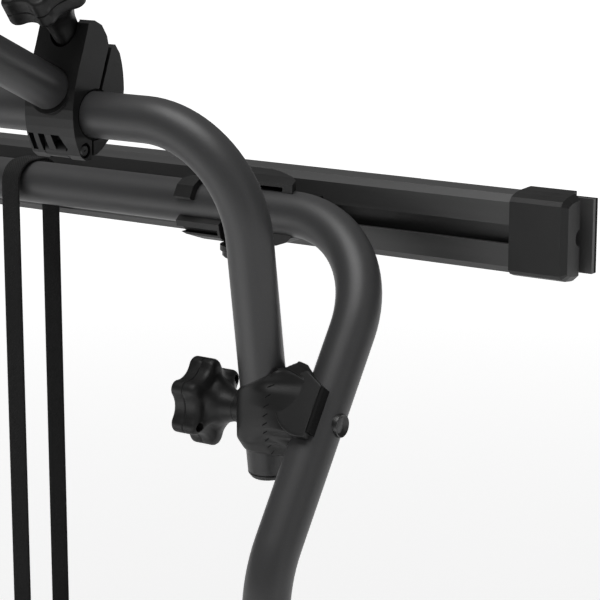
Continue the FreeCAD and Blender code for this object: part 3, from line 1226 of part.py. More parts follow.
def make_platform():
    """The folding platform: brackets on the legs, a U-shaped tube and two wheel channels."""
    x = leg_x
    y = d["pivot_y"]
    z = d["pivot_z"]
    leg_y = d["frame_leg_y"]
    tall = d["lug_height"] / 2.0
    wall = d["bracket_wall"]
    side = tube_radius + wall
    inner = tube_radius + seat_gap
    lug = inner + d["lug_thickness"]
    front = leg_y - tube_radius - wall
    pin = d["pivot_pin"] / 2.0
    tail_end = y + d["platform_tail"]
    body = new_body("platform_bracket")
    prism(body, "Pad", "platform_bracket_block", "XY_Plane", -tall, tall, [[
        (-side, front), (side, front), (side, leg_y + tube_radius), (side - wall, leg_y + side),
        (wall - side, leg_y + side), (-side, leg_y + tube_radius)]])
    cheeks = []
    for sign in (1.0, -1.0):
        cheeks.append([(inner * sign, y - tall * 0.75), (lug * sign, y - tall * 0.75),
                       (lug * sign, front + 2.0), (inner * sign, front + 2.0)])
    prism(body, "Pad", "platform_bracket_cheeks", "XY_Plane", -tall, tall, cheeks)
    prism(body, "Pad", "platform_bracket_stop", "YZ_Plane", -lug, lug, [[
        (tail_end - 9.0, inner), (tail_end, inner), (tail_end, tall), (tail_end - 9.0, tall)]])
    prism(body, "Pocket", "platform_bracket_bore", "XY_Plane", tall * -2.0, tall * 2.0,
          circles=[(0.0, leg_y, tube_radius + run_gap)])
    prism(body, "Pocket", "platform_bracket_pin_hole", "YZ_Plane", lug * -2.0, lug * 2.0,
          circles=[(y, 0.0, pin + run_gap)])
    prism(body, "Pocket", "platform_bracket_corners", "YZ_Plane", lug * -2.0, lug * 2.0, [
        [(y - tall, tall + 1.0), (y - tall, tall * 0.3), (y - tall * 0.75, tall * 0.3),
         (y - tall * 0.3, tall), (y - tall * 0.3, tall + 1.0)],
        [(y - tall, -1.0 - tall), (y - tall, tall * -0.3), (y - tall * 0.75, tall * -0.3),
         (y - tall * 0.3, -tall), (y - tall * 0.3, -1.0 - tall)]])
    keep_both(place(body, x, 0.0, z), "platform_bracket")

    head = pin * 1.7
    reach = lug + seat_gap
    bolt = new_body("pivot_bolt")
    revolve(bolt, "pivot_bolt_shape", [
        (0.0, reach + 5.0), (head * 0.7, reach + 5.0), (head, reach + 3.0), (head, reach),
        (pin, reach), (pin, -reach), (head, -reach), (head, -5.0 - reach),
        (pin, -8.0 - reach), (0.0, -8.0 - reach)])
    keep(group("pivot_bolt_group", bolt, both_sides(x, y, z, ALONG_X)), "pivot_bolts")

    bar_y = y - d["platform_depth"]
    points = [vector(x, tail_end, z), vector(x, bar_y, z), vector(-x, bar_y, z), vector(-x, tail_end, z)]
    shape = tube(points, d["frame_bend"], d["tube_diameter"], d["tube_wall"])
    shape = bored(shape, pin + run_gap, vector(x * -1.5, y, z), X_AXIS, x * 3.0)
    keep(computed("platform_bar", shape), "platform_tube")

    width = d["channel_width"] / 2.0
    height = d["channel_height"]
    thin = d["channel_wall"]
    half = d["channel_length"] / 2.0
    floor_z = z + tube_radius + run_gap + d["channel_seat"]
    strap_slot = d["wheel_strap_width"] / 2.0 + 1.0
    cap = d["channel_cap"]
    rows = (("inner", y - d["inner_channel"]), ("outer", y - d["outer_channel"]))
    caps = []
    saddles = []
    straps = []
    buckles = []
    for row, centre in rows:
        name = "channel_" + row
        channel = new_body(name)
        prism(channel, "Pad", name + "_section", "YZ_Plane", -half, half, [[
            (-width, thin), (-width, height), (thin - width, height), (thin - width, thin * 1.8),
            (thin * 2.0 - width, thin), (width - thin * 2.0, thin), (width - thin, thin * 1.8),
            (width - thin, height), (width, height), (width, thin), (width - thin, 0.0),
            (thin - width, 0.0)]])
        slots = []
        for sign in (1.0, -1.0):
            strap_x = d["wheel_strap_x"] * sign
            slots.append([(strap_x - strap_slot, 8.0), (strap_x + strap_slot, 8.0),
                          (strap_x + strap_slot, 13.0), (strap_x - strap_slot, 13.0)])
        prism(channel, "Pocket", name + "_slots", "XZ_Plane", width * -2.0, width * 2.0, slots)
        keep(place(channel, 0.0, centre, floor_z), "wheel_channel_" + row)
        caps += [at(half, centre, floor_z), at(-half, centre, floor_z, FreeCAD.Rotation(Z_AXIS, 180))]
        saddles += both_sides(x, centre, z)
        straps += both_sides(d["wheel_strap_x"], centre, floor_z)
        buckles += both_sides(d["wheel_strap_x"], centre - width, floor_z)

    skin = thin * 0.8
    grown = width + seat_gap
    cover = new_body("channel_cap_body")
    around_end = skin + seat_gap
    prism(cover, "Pad", "channel_cap_outline", "YZ_Plane", around_end - cap, around_end, [[
        (-skin - grown, thin), (-skin - grown, height + skin),
        (grown + skin, height + skin), (grown + skin, thin), (grown + skin - thin, -around_end),
        (thin - grown - skin, -around_end)]])
    prism(cover, "Pocket", "channel_cap_cavity", "YZ_Plane", cap * -2.0, seat_gap, [[
        (-grown, thin - 0.5), (-grown, height + seat_gap), (grown, height + seat_gap),
        (grown, thin - 0.5), (grown - thin, -seat_gap), (thin - grown, -seat_gap)]])
    keep(group("channel_cap_group", cover, caps), "channel_end_caps")

    seat = new_body("saddle")
    side = tube_radius + 4.0
    prism(seat, "Pad", "saddle_block", "XZ_Plane", -tube_radius, tube_radius, [[
        (-side, -4.0), (-side, tube_radius + d["channel_seat"]),
        (side, tube_radius + d["channel_seat"]), (side, -4.0)]])
    prism(seat, "Pocket", "saddle_bore", "XZ_Plane", tube_radius * -2.0, tube_radius * 2.0,
          circles=[(0.0, 0.0, tube_radius + run_gap)])
    keep(group("saddle_group", seat, saddles), "channel_saddles")

    band = d["wheel_strap_thickness"]
    half_band = d["wheel_strap_width"] / 2.0
    gap = seat_gap
    lift = d["wheel_strap_rise"] + height
    out = width + gap
    strap = new_body("wheel_strap")
    low = 8.0 + gap
    rim = height + 1.5
    prism(strap, "Pad", "wheel_strap_loop", "YZ_Plane", -half_band, half_band, [[
        (thin - width + 1.0, low), (-band - out, low), (-band - out, rim),
        (band - width, lift - 8.0), (width * -0.5, lift + band), (width * 0.5, lift + band),
        (width - band, lift - 8.0), (out + band, rim), (out + band, low),
        (width - thin - 1.0, low), (width - thin - 1.0, low + band), (out, low + band),
        (out, rim), (width - band * 2.2, lift - 9.0), (width * 0.48, lift),
        (width * -0.48, lift), (band * 2.2 - width, lift - 9.0), (-out, rim),
        (-out, low + band), (thin - width + 1.0, low + band)]])
    keep(group("wheel_strap_group", strap, straps), "wheel_straps")

    clip = new_body("strap_buckle_body")
    face = -band - gap * 2.0
    prism(clip, "Pad", "wheel_buckle_block", "YZ_Plane", -3.0 - half_band, half_band + 3.0, [[
        (face, 14.0), (face - 5.0, 15.0), (face - 7.0, 19.0), (face - 4.0, 23.0), (face, 23.5)]])
    keep(group("wheel_buckle_group", clip, buckles), "wheel_strap_buckles")


def make_safety_strap():
    """A loop of webbing that hangs over the frame's top bar, with its cam buckle."""
    bar_y = float(d["frame_bar_y"])
    bar_z = float(d["frame_bar_z"])
    x = float(d["safety_strap_x"])
    width = float(d["safety_strap_width"])
    thick = float(d["safety_strap_thickness"])
    top = bar_z + float(tube_radius) + float(seat_gap) + thick / 2.0
    front = bar_y - float(d["safety_strap_front"])
    rear = bar_y + float(d["safety_strap_rear"])
    low = bar_z - float(d["safety_strap_drop"])
    middle = (top + low) / 2.0
    bend = float(d["safety_strap_front"]) * 0.75
    points = [FreeCAD.Vector(x, front, middle), FreeCAD.Vector(x, front, top),
              FreeCAD.Vector(x, rear, top), FreeCAD.Vector(x, rear, middle)]
    upper = bent_wire(points, bend)
    points = [FreeCAD.Vector(x, rear, middle), FreeCAD.Vector(x, rear, low),
              FreeCAD.Vector(x, front, low), FreeCAD.Vector(x, front, middle)]
    lower = bent_wire(points, bend)
    outer = Part.Face(Part.Wire(upper.Edges + lower.Edges))
    ring = outer.makeOffset2D(thick / 2.0).cut(outer.makeOffset2D(thick / -2.0))
    strap = ring.extrude(FreeCAD.Vector(width, 0, 0))
    strap.translate(FreeCAD.Vector(width / -2.0, 0, 0))
    keep(computed("safety_loop", strap), "safety_strap")

    buckle = new_body("safety_buckle")
    half = width / 2.0
    gap = float(seat_gap)
    inner = thick / 2.0 + gap
    rise = 30.0
    prism(buckle, "Pad", "safety_buckle_plate", "YZ_Plane", -4.0 - half, half + 4.0, [[
        (inner + 2.5, -rise), (inner + 2.5, rise), (-inner - 2.0, rise), (-inner - 7.0, rise * 0.4),
        (-inner - 9.0, -2.0), (-inner - 5.0, -rise * 0.6), (-inner - 2.0, -rise)]])
    prism(buckle, "Pocket", "safety_buckle_way", "YZ_Plane", -gap - half, half + gap, [[
        (inner, -rise * 2.0), (inner, rise * 2.0), (-inner, rise * 2.0), (-inner, -rise * 2.0)]])
    keep(place(buckle, x, front, d["frame_bar_z"] - d["safety_buckle_drop"]), "strap_buckle")


make_rail("upper_rail", 0.0)
make_rail("lower_rail", low_rail)
make_rail_caps()
make_door_fixings()
make_main_frame()
make_rail_clamps()
make_slot_fixings()
make_feet()
coupling_start = make_couplings()
make_coupling_knobs(coupling_start)
make_inner_bar()
make_arm_clamps()
make_arm("short_arm", "right", d["short_arm"])
make_arm("long_arm", "left", d["long_arm"])
make_platform()
make_safety_strap()
doc.recompute()

for thing in doc.Objects:
    if "Invalid" in thing.State or "Error" in thing.State:
        raise RuntimeError("this object did not compute: " + thing.Name)
labels = [thing.Label for thing in nodes]
if len(set(labels)) != len(labels):
    raise RuntimeError("two sub-parts share a name")
for thing in nodes:
    shape = thing.Shape
    if shape.isNull() or not shape.isValid() or not shape.Solids:
        raise RuntimeError("this sub-part is not a valid solid: " + thing.Label)
for thing in nodes:
    thing.Shape.exportStep("parts/" + thing.Label + ".step")
print(len(nodes), "sub-parts written")
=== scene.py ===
import math

import bmesh
import bpy
import numpy as np
from bpy.props import FloatProperty, FloatVectorProperty, PointerProperty
from mathutils import Matrix, Vector


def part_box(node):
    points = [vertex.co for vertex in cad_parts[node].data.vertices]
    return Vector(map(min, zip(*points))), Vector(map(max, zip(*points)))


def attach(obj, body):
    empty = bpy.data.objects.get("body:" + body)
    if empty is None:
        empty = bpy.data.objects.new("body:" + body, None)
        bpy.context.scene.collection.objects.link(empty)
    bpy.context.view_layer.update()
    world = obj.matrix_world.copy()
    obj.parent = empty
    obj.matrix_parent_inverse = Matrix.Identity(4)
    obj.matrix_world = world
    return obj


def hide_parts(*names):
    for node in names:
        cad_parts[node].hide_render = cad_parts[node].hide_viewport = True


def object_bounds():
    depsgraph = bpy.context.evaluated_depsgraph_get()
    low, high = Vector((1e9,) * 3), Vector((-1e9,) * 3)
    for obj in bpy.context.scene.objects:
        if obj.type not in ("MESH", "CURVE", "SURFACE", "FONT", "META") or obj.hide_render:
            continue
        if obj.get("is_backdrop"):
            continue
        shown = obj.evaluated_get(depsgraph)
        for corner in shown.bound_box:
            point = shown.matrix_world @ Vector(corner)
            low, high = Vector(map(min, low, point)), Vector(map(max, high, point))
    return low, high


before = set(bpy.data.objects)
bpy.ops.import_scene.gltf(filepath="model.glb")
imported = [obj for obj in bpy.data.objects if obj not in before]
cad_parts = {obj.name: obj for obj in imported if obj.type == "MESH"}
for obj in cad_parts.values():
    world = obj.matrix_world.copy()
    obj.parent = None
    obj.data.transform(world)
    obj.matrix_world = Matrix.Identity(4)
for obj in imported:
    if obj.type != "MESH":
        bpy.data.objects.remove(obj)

bl_info = {
    "name": "Door Bike Carrier",
    "version": (1, 0, 0),
    "blender": (4, 5, 0),
    "location": "3D View > Sidebar > Bike Carrier",
    "description": "Finishes and smooth pieces for a bike carrier on a van's rear door",
    "category": "Object",
}

TURN = 2.0 * math.pi
SIDES = (("right", 1.0), ("left", -1.0))
MERGE_DISTANCE = 2e-6

LOBES = 6
LOBE_PITCH = TURN / LOBES
HOLED_LOBES = (1, 4)
HOLE_RADIUS = 0.003
HOLE_DEPTH = 0.006
HOLE_CHAMFER = 0.0003
TIP_SHARE = 0.19
SEAT_SHARE = 0.81
PATCH_SHARE = 0.145
PATCH_STEPS = 8
STAR_START = 0.42
STAR_SPAN = 0.46
RIM_ROUND = 0.0032
LID_SUNK = 0.0006
LID_GROOVE = 0.0012
PARTING_DEPTH = 0.0007


def mm(table):
    """A table of millimetres as an array in metres."""
    return np.asarray(table, float) * 0.001


def unit(vectors):
    """Vectors divided by their own length."""
    vectors = np.asarray(vectors, float)
    return vectors / np.linalg.norm(vectors, axis=-1, keepdims=True)


def stacked(*parts):
    """Coordinates of unlike shapes, spread over one grid and joined as its last axis."""
    return np.stack(np.broadcast_arrays(*parts), axis=-1)


def whole_turn(around):
    """Angles once round, the first one again at the end."""
    return np.linspace(0.0, TURN, around + 1)


def distance_along(line):
    """Length of a polyline up to each of its points."""
    return np.concatenate([[0.0], np.cumsum(np.linalg.norm(np.diff(line, axis=0), axis=1))])


def grid_faces(rows, columns, first):
    """Corner numbers of the squares between neighbouring rows and columns of points."""
    corner = np.arange(rows * columns).reshape(rows, columns) + first
    squares = (corner[:-1, :-1], corner[:-1, 1:], corner[1:, 1:], corner[1:, :-1])
    return np.stack(squares, axis=-1).reshape(-1, 4)


def close_seams(mesh):
    """Merge points that coincide and turn every face outward."""
    work = bmesh.new()
    work.from_mesh(mesh)
    bmesh.ops.remove_doubles(work, verts=work.verts, dist=MERGE_DISTANCE)
    bmesh.ops.recalc_face_normals(work, faces=work.faces)
    for face in work.faces:
        face.smooth = True
    work.to_mesh(mesh)
    work.free()


def add_piece(name, grids, body, slot, node, finish=None, sharp=40.0):
    """One mesh from grids, fixed to its body, in place of the solid that it stands for.

    Each grid is a pair of arrays: points, rows by columns by three, and surface coordinates, rows
    by columns by two. Seams and poles are merged, and edges above the sharp angle in degrees stay
    sharp. The finish is the slot's own unless another is named.
    """
    points = np.concatenate([grid[0].reshape(-1, 3) for grid in grids])
    flat = np.concatenate([grid[1].reshape(-1, 2) for grid in grids])
    faces = []
    first = 0
    for grid in grids:
        rows, columns = grid[0].shape[:2]
        faces.append(grid_faces(rows, columns, first))
        first += rows * columns
    faces = np.concatenate(faces)
    mesh = bpy.data.meshes.new(name)
    mesh.from_pydata(points.tolist(), [], faces.tolist())
    layer = mesh.uv_layers.new(name="UVMap")
    layer.data.foreach_set("uv", flat[faces.ravel()].ravel().astype(np.float32))
    close_seams(mesh)
    mesh.set_sharp_from_angle(angle=math.radians(sharp))
    mesh.materials.append(material(finish or slot))
    piece = bpy.data.objects.new(name, mesh)
    bpy.context.scene.collection.objects.link(piece)
    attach(piece, body)
    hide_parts(node)


def bent_line(corners, bend, step=math.radians(4.0)):
    """Points and directions of a tube's centre line: straight runs joined by tangent arcs."""
    corners = np.asarray(corners, float)
    runs = unit(np.diff(corners, axis=0))
    points = [corners[:1]]
    ways = [runs[:1]]
    for corner, into, out in zip(corners[1:-1], runs[:-1], runs[1:]):
        turn = math.acos(float(np.clip(np.dot(into, out), -1.0, 1.0)))
        start = corner - into * bend * math.tan(turn / 2.0)
        inward = unit(out - into * math.cos(turn))
        angle = np.linspace(0.0, turn, max(3, int(turn / step) + 1))[:, None]
        points.append(start + bend * (np.sin(angle) * into + (1.0 - np.cos(angle)) * inward))
        ways.append(np.cos(angle) * into + np.sin(angle) * inward)
    points.append(corners[-1:])
    ways.append(runs[-1:])
    return np.concatenate(points), np.concatenate(ways)


def tube_grid(corners, bend, radius, wall, aside, around=56):
    """A bent tube with rounded lips, as one closed skin.

    A point is the centre line plus a ring of the wall's radius; the rows run along the outside,
    over one lip, back along the inside and over the other lip. aside is a direction that the
    line never takes, and fixes where each ring starts.
    """
    line, ways = bent_line(corners, bend)
    aside = np.asarray(aside, float)
    across = unit(aside - ways * (ways @ aside)[:, None])
    beside = np.cross(ways, across)
    lip = wall / 2.0
    middle = radius - lip
    swing = np.linspace(0.0, math.pi, 6)[1:-1]
    out, up = lip * np.cos(swing), lip * np.sin(swing)
    rings = np.arange(len(line))
    along = np.zeros(len(line))
    first = np.zeros(len(swing), int)
    index = np.concatenate([rings, first + rings[-1], rings[::-1], first, rings[:1]])
    radii = np.concatenate([along + radius, middle + out, along + radius - wall, middle - out,
                            [radius]])
    beyond = np.concatenate([along, up, along, -up, [0.0]])
    angle = whole_turn(around)
    ring = (across[index][:, None, :] * np.cos(angle)[None, :, None]
            + beside[index][:, None, :] * np.sin(angle)[None, :, None])
    centre = line[index] + ways[index] * beyond[:, None]
    points = centre[:, None, :] + ring * radii[:, None, None]
    return points, stacked(distance_along(line)[index][:, None], angle * radius)


def shortened(corners, amount):
    """A tube's corners with both ends drawn in, so that its round lips end where it is cut."""
    corners = np.array(corners, float)
    corners[0] += unit(corners[1] - corners[0]) * amount
    corners[-1] += unit(corners[-2] - corners[-1]) * amount
    return corners


def smooth_profile(corners, share, steps):
    """A polyline with each corner rounded by a parabola that starts a share of the way along."""
    corners = np.asarray(corners, float)
    pieces = [corners[:1]]
    mix = np.linspace(0.0, 1.0, steps)[:, None]
    for before, corner, after in zip(corners, corners[1:], corners[2:]):
        start = corner + (before - corner) * share
        end = corner + (after - corner) * share
        pieces.append((1 - mix) ** 2 * start + 2 * mix * (1 - mix) * corner + mix ** 2 * end)
    pieces.append(corners[-1:])
    return np.concatenate(pieces)


def star_outline(angle, rim, tip, valley):
    """Reach of a six-lobed star in a direction.

    Round a lobe it is the far side of the tip's circle, whose centre lies a tip's radius inside
    the rim. Between two lobes it is the near side of a circle that touches both tip circles and
    comes as near to the axis as the valley.
    """
    half = LOBE_PITCH / 2.0
    off = np.abs((angle + half) % LOBE_PITCH - half)
    centre = rim - tip
    far = (centre ** 2 - (valley - tip) ** 2) / (2.0 * (centre * math.cos(half) - valley + tip))
    hollow = far - valley
    touch = np.array([centre, 0.0]) + tip * unit(
        [far * math.cos(half) - centre, far * math.sin(half)])
    limit = math.atan2(touch[1], touch[0])
    lobe = (centre * np.cos(off)
            + np.sqrt(np.maximum(tip ** 2 - (centre * np.sin(off)) ** 2, 0.0)))
    rest = half - off
    gap = (far * np.cos(rest)
           - np.sqrt(np.maximum(hollow ** 2 - (far * np.sin(rest)) ** 2, 0.0)))
    return np.where(off <= limit, lobe, gap)


def hole_moves(spacing, hole):
    """Moves along and across the rows that draw a square patch in to circles, and their sinking.

    A square's rings become circles about its middle, the outer rings less and less, and the
    inner ones sink to a flat floor. spacing is the grid's own, hole the radius of the hole.
    """
    count = PATCH_STEPS
    steps = np.arange(-count, count + 1)
    row, column = np.meshgrid(steps, steps, indexing="ij")
    mostly_row = np.abs(row) >= np.abs(column)
    level = np.maximum(np.abs(row), np.abs(column))
    share = 1.0 / np.maximum(level, 1)
    swing = np.where(mostly_row, np.sign(row) * column * share,
                     2.0 - np.sign(column) * row * share) * math.pi / 4.0
    circle = np.interp(level, (0, 1, 2, 3, 4, count), (0.0, 0.5, 0.96, 1.0, 1.12, 1.12)) * hole
    circle = circle * np.where(mostly_row, np.sign(row), np.sign(column))
    free = 1.0 - np.clip((level - 4.0) / (count - 4.0), 0.0, 1.0)
    sink = np.interp(level, (0, 2, 3, 4), (HOLE_DEPTH, HOLE_DEPTH, HOLE_CHAMFER, 0.0))
    return (free * (circle * np.cos(swing) - row * spacing),
            free * (circle * np.sin(swing) - column * spacing), sink)


def star_knob_grid(rim, valley, face, back, hole=0.0):
    """Skin of a six-lobed hand knob about +Z, from the middle of its face to the tip of its stud.

    face and back are profiles of reach at a lobe's crown and height. Each ring follows the star's
    outline where the reach is near the rim, and turns into a circle toward the axis by a smooth
    step of the reach. Behind two opposite lobes the grid is drawn in to circles, and its inner
    rings are pushed in to form a blind hole.
    """
    count = PATCH_STEPS
    side = 2 * count + 1
    tip = rim * TIP_SHARE
    seat = rim * SEAT_SHARE
    spacing = rim * PATCH_SHARE / count
    inside = np.linspace(seat + count * spacing, seat - count * spacing, side)
    rising = back[np.argsort(back[:, 0], kind="stable")].T
    before = back[back[:, 0] > inside[0]]
    after = back[back[:, 0] < inside[-1]]
    among = stacked(inside, np.interp(inside, *rising))
    profile = np.concatenate([face, before, among, after])
    first = len(face) + len(before)

    patch = np.arange(-count, count + 1) * spacing / seat
    between = np.linspace(patch[-1], LOBE_PITCH + patch[0], 14)[1:-1]
    lobe = np.concatenate([patch, between])
    angle = np.concatenate([lobe + number * LOBE_PITCH for number in range(LOBES)])
    angle = np.append(angle, angle[0] + TURN)
    reach, angle = np.meshgrid(profile[:, 0], angle, indexing="ij")
    height = np.repeat(profile[:, 1:], reach.shape[1], axis=1)

    if hole:
        along, across, sink = hole_moves(spacing, hole)
        rows = slice(first, first + side)
        patches = [slice(number * len(lobe), number * len(lobe) + side) for number in HOLED_LOBES]
        for columns in patches:
            reach[rows, columns] -= along
            angle[rows, columns] += across / seat
        height[rows] = np.interp(reach[rows], *rising)
        for columns in patches:
            height[rows, columns] += sink

    star = np.clip((reach / rim - STAR_START) / STAR_SPAN, 0.0, 1.0)
    star = star * star * (3.0 - 2.0 * star)
    radius = np.maximum(reach + star * (star_outline(angle, rim, tip, valley) - rim), 0.0)
    points = stacked(radius * np.cos(angle), radius * np.sin(angle), height)
    return points, stacked(angle * rim, mm(np.arange(len(profile)))[:, None])


def rim_face(rim, thick):
    """Profile of a knob's outer face and rim: a sunk lid, a round edge and a parting line."""
    swing = np.linspace(math.pi / 2.0, 0.0, 7)
    lid = ((0.0, LID_SUNK), (0.36, LID_SUNK), (0.375, LID_GROOVE), (0.395, LID_GROOVE),
           (0.41, 0.0), (0.6, 0.0))
    side = ((0.0, 0.7), (0.0, 0.535), (PARTING_DEPTH, 0.505), (PARTING_DEPTH, 0.495),
            (0.0, 0.465), (0.0, 0.3))
    corner = stacked(rim - RIM_ROUND + RIM_ROUND * np.cos(swing),
                     thick - RIM_ROUND + RIM_ROUND * np.sin(swing))
    return np.concatenate([[(rim * share, thick - down) for share, down in lid], corner,
                           [(rim - inset, thick * share) for inset, share in side]])


def knob_back(rim, edge, rest):
    """Profile of a knob's back: its rounded edge, by inset from the rim, then all the rest."""
    return np.concatenate([mm(edge) * (-1.0, 1.0) + (rim, 0.0), rest])


def revolved_grid(profile, around=72):
    """A turned piece about +Z: a profile of reach and height carried round the axis."""
    reach, height = np.asarray(profile, float).T[:, :, None]
    angle = whole_turn(around)
    points = stacked(reach * np.cos(angle), reach * np.sin(angle), height)
    return points, stacked(angle * reach.max(), mm(np.arange(len(reach)))[:, None])


def band_grid(line, width, thickness, closed):
    """Webbing along a line across X: a flat section with rounded edges, carried along it.

    The section is a stadium of the band's width and thickness. The rows follow the line, and the
    surface coordinates hold the distance round the section and the distance along it in metres.
    """
    line = np.asarray(line, float)
    if closed:
        ahead = np.roll(line, -1, axis=0)
        behind = np.roll(line, 1, axis=0)
    else:
        ahead = np.concatenate([line[1:], 2 * line[-1:] - line[-2:-1]])
        behind = np.concatenate([2 * line[:1] - line[1:2], line[:-1]])
    sideways = np.array([1.0, 0.0, 0.0])
    rise = np.cross(unit(ahead - behind), sideways)
    half = thickness / 2.0
    flat_half = width / 2.0 - half
    swing = np.linspace(-math.pi / 2.0, math.pi / 2.0, 5)
    edge = np.linspace(-flat_half, flat_half, 8)[1:-1]
    across = np.concatenate([flat_half + half * np.cos(swing), edge[::-1],
                             -flat_half - half * np.cos(swing), edge])
    up = np.concatenate([half * np.sin(swing), np.full(len(edge), half),
                         -half * np.sin(swing), np.full(len(edge), -half)])
    across = np.append(across, across[0])
    up = np.append(up, up[0])
    if closed:
        line = np.concatenate([line, line[:1]])
        rise = np.concatenate([rise, rise[:1]])
    points = (line[:, None, :] + sideways * across[None, :, None]
              + rise[:, None, :] * up[None, :, None])
    return points, stacked(across, distance_along(line)[:, None])


def end_cap(grid, row):
    """A closing cap: an end row of a grid drawn to its own middle."""
    ring, flat = grid[0][row], grid[1][row]
    centre = ring.mean(axis=0)
    points = np.stack([ring, centre + (ring - centre) * 0.5, np.broadcast_to(centre, ring.shape)])
    return points, np.broadcast_to(flat, (3,) + flat.shape)


def placed(grid, origin, axis, up):
    """A grid about +Z carried to an origin, with +Z along an axis and +X near up."""
    axis = unit(axis)
    first = unit(np.asarray(up, float) - axis * np.dot(axis, up))
    rows = np.stack([first, np.cross(axis, first), axis])
    return grid[0] @ rows + np.asarray(origin, float), grid[1]


def feed(tree, socket, value):
    """Give an input a number or a colour, or link it to another node's output."""
    if isinstance(value, bpy.types.NodeSocket):
        tree.links.new(value, socket)
    else:
        socket.default_value = value


def add_node(tree, kind, inputs, **settings):
    """A shader node of a kind with its settings, and its inputs fed by name or number."""
    made = tree.nodes.new("ShaderNode" + kind)
    for name, value in settings.items():
        setattr(made, name, value)
    for key, value in inputs.items():
        feed(tree, made.inputs[key], value)
    return made


def math_node(tree, operation, first, second=0.0):
    """The result of one sum on numbers or outputs."""
    return add_node(tree, "Math", {0: first, 1: second}, operation=operation).outputs[0]


def vector_node(tree, operation, *inputs):
    """The outputs of one sum on vectors."""
    return add_node(tree, "VectorMath", dict(enumerate(inputs)), operation=operation).outputs


def ramp(tree, value, low, high, start=0.0, end=1.0):
    """A value carried from one range to another, held within it."""
    return add_node(tree, "MapRange", {
        "Value": value, "From Min": low, "From Max": high, "To Min": start, "To Max": end},
        clamp=True).outputs[0]


def noise(tree, vector, scale, detail=3.0, roughness=0.55):
    """Smooth noise of a scale, from nothing to one."""
    return add_node(tree, "TexNoise", {
        "Vector": vector, "Scale": scale, "Detail": detail, "Roughness": roughness}).outputs["Fac"]


def mixed(tree, share, first, second):
    """A colour between two, by a share."""
    return add_node(tree, "Mix", {0: share, 6: first, 7: second}, data_type="RGBA").outputs[2]


def separated(tree, vector):
    """The three parts of a vector."""
    return add_node(tree, "SeparateXYZ", {"Vector": vector}).outputs


def bumped(tree, height, strength, distance, normal=None, invert=False):
    """The surface's normal, or another one, tilted by a height."""
    inputs = {"Height": height, "Strength": strength, "Distance": distance}
    if normal:
        inputs["Normal"] = normal
    return add_node(tree, "Bump", inputs, invert=invert).outputs[0]


def grey(value, warm=0.0):
    """A grey of one value, with red raised and blue lowered by the warmth."""
    return (value * (1.0 + warm), value, value * (1.0 - warm), 1.0)


def new_group(name, inputs, outputs):
    """An empty node group with numbers in and out, and the coordinates that it works on."""
    tree = bpy.data.node_groups.new(name, "ShaderNodeTree")
    for label, value in inputs.items():
        socket = tree.interface.new_socket(label, in_out="INPUT", socket_type="NodeSocketFloat")
        socket.default_value = value
    for label in outputs:
        tree.interface.new_socket(label, in_out="OUTPUT", socket_type="NodeSocketFloat")
    source = tree.nodes.new("NodeGroupInput").outputs
    sink = tree.nodes.new("NodeGroupOutput").inputs
    return tree, source, sink, tree.nodes.new("ShaderNodeTexCoord").outputs


def moulded_grain():
    """Fine pebbled grain of a moulding with slow patches of gloss."""
    tree, source, sink, at = new_group(
        "moulded_grain", {"Grain Scale": 1400.0, "Patch Scale": 24.0}, ("Height", "Patches"))
    cells = add_node(tree, "TexVoronoi", {"Vector": at["Object"], "Scale": source[0]}, feature="F1")
    cells = math_node(tree, "MULTIPLY", cells.outputs["Distance"], 0.6)
    fine = noise(tree, at["Object"], source[0], 2.0)
    feed(tree, sink[0], math_node(tree, "ADD", cells, fine))
    feed(tree, sink[1], ramp(tree, noise(tree, at["Object"], source[1], 4.0), 0.35, 0.7))
    return tree


def edge_rub():
    """Mask of handled edges: where the surface normal leaves the rounded one, broken by noise."""
    tree, source, sink, at = new_group(
        "edge_rub", {"Edge Width": 0.0012, "Break Scale": 90.0}, ("Mask",))
    rounded = add_node(tree, "Bevel", {"Radius": source[0]}, samples=6)
    plain = tree.nodes.new("ShaderNodeNewGeometry").outputs["True Normal"]
    along = vector_node(tree, "DOT_PRODUCT", rounded.outputs[0], plain)
    edge = ramp(tree, along["Value"], 0.995, 0.86)
    broken = ramp(tree, noise(tree, at["Object"], source[1], 5.0, 0.65), 0.38, 0.62)
    feed(tree, sink[0], math_node(tree, "MULTIPLY", edge, broken))
    return tree


def light_dust():
    """Mask of thin dust that lies on faces turned upward, in soft patches."""
    tree, source, sink, at = new_group("light_dust", {"Patch Scale": 14.0}, ("Mask",))
    plain = tree.nodes.new("ShaderNodeNewGeometry").outputs["Normal"]
    up = ramp(tree, separated(tree, plain)["Z"], 0.35, 1.0)
    patch = ramp(tree, noise(tree, at["Object"], source[0], 6.0, 0.7), 0.4, 0.75)
    feed(tree, sink[0], math_node(tree, "MULTIPLY", up, patch))
    return tree


def coat_peel():
    """Gentle orange peel of a baked powder coat, with slow changes of gloss and tone."""
    tree, source, sink, at = new_group(
        "coat_peel", {"Peel Scale": 520.0, "Tone Scale": 9.0}, ("Height", "Tone", "Speckle"))
    fine_scale = math_node(tree, "MULTIPLY", source[0], 3.0)
    feed(tree, sink[0], noise(tree, at["Object"], source[0], 2.0, 0.5))
    feed(tree, sink[1], ramp(tree, noise(tree, at["Object"], source[1], 5.0), 0.3, 0.7))
    feed(tree, sink[2], ramp(tree, noise(tree, at["Object"], fine_scale, 1.0), 0.62, 0.8))
    return tree


def draw_lines():
    """Lines left along an extrusion by its die: noise stretched along the rail."""
    tree, source, sink, at = new_group("draw_lines", {"Line Scale": 900.0}, ("Height", "Tone"))
    stretched = vector_node(tree, "MULTIPLY", at["Object"], (0.004, 1.0, 1.0))[0]
    broad_scale = math_node(tree, "MULTIPLY", source[0], 0.15)
    feed(tree, sink[0], noise(tree, stretched, source[0]))
    feed(tree, sink[1], ramp(tree, noise(tree, stretched, broad_scale), 0.3, 0.7))
    return tree


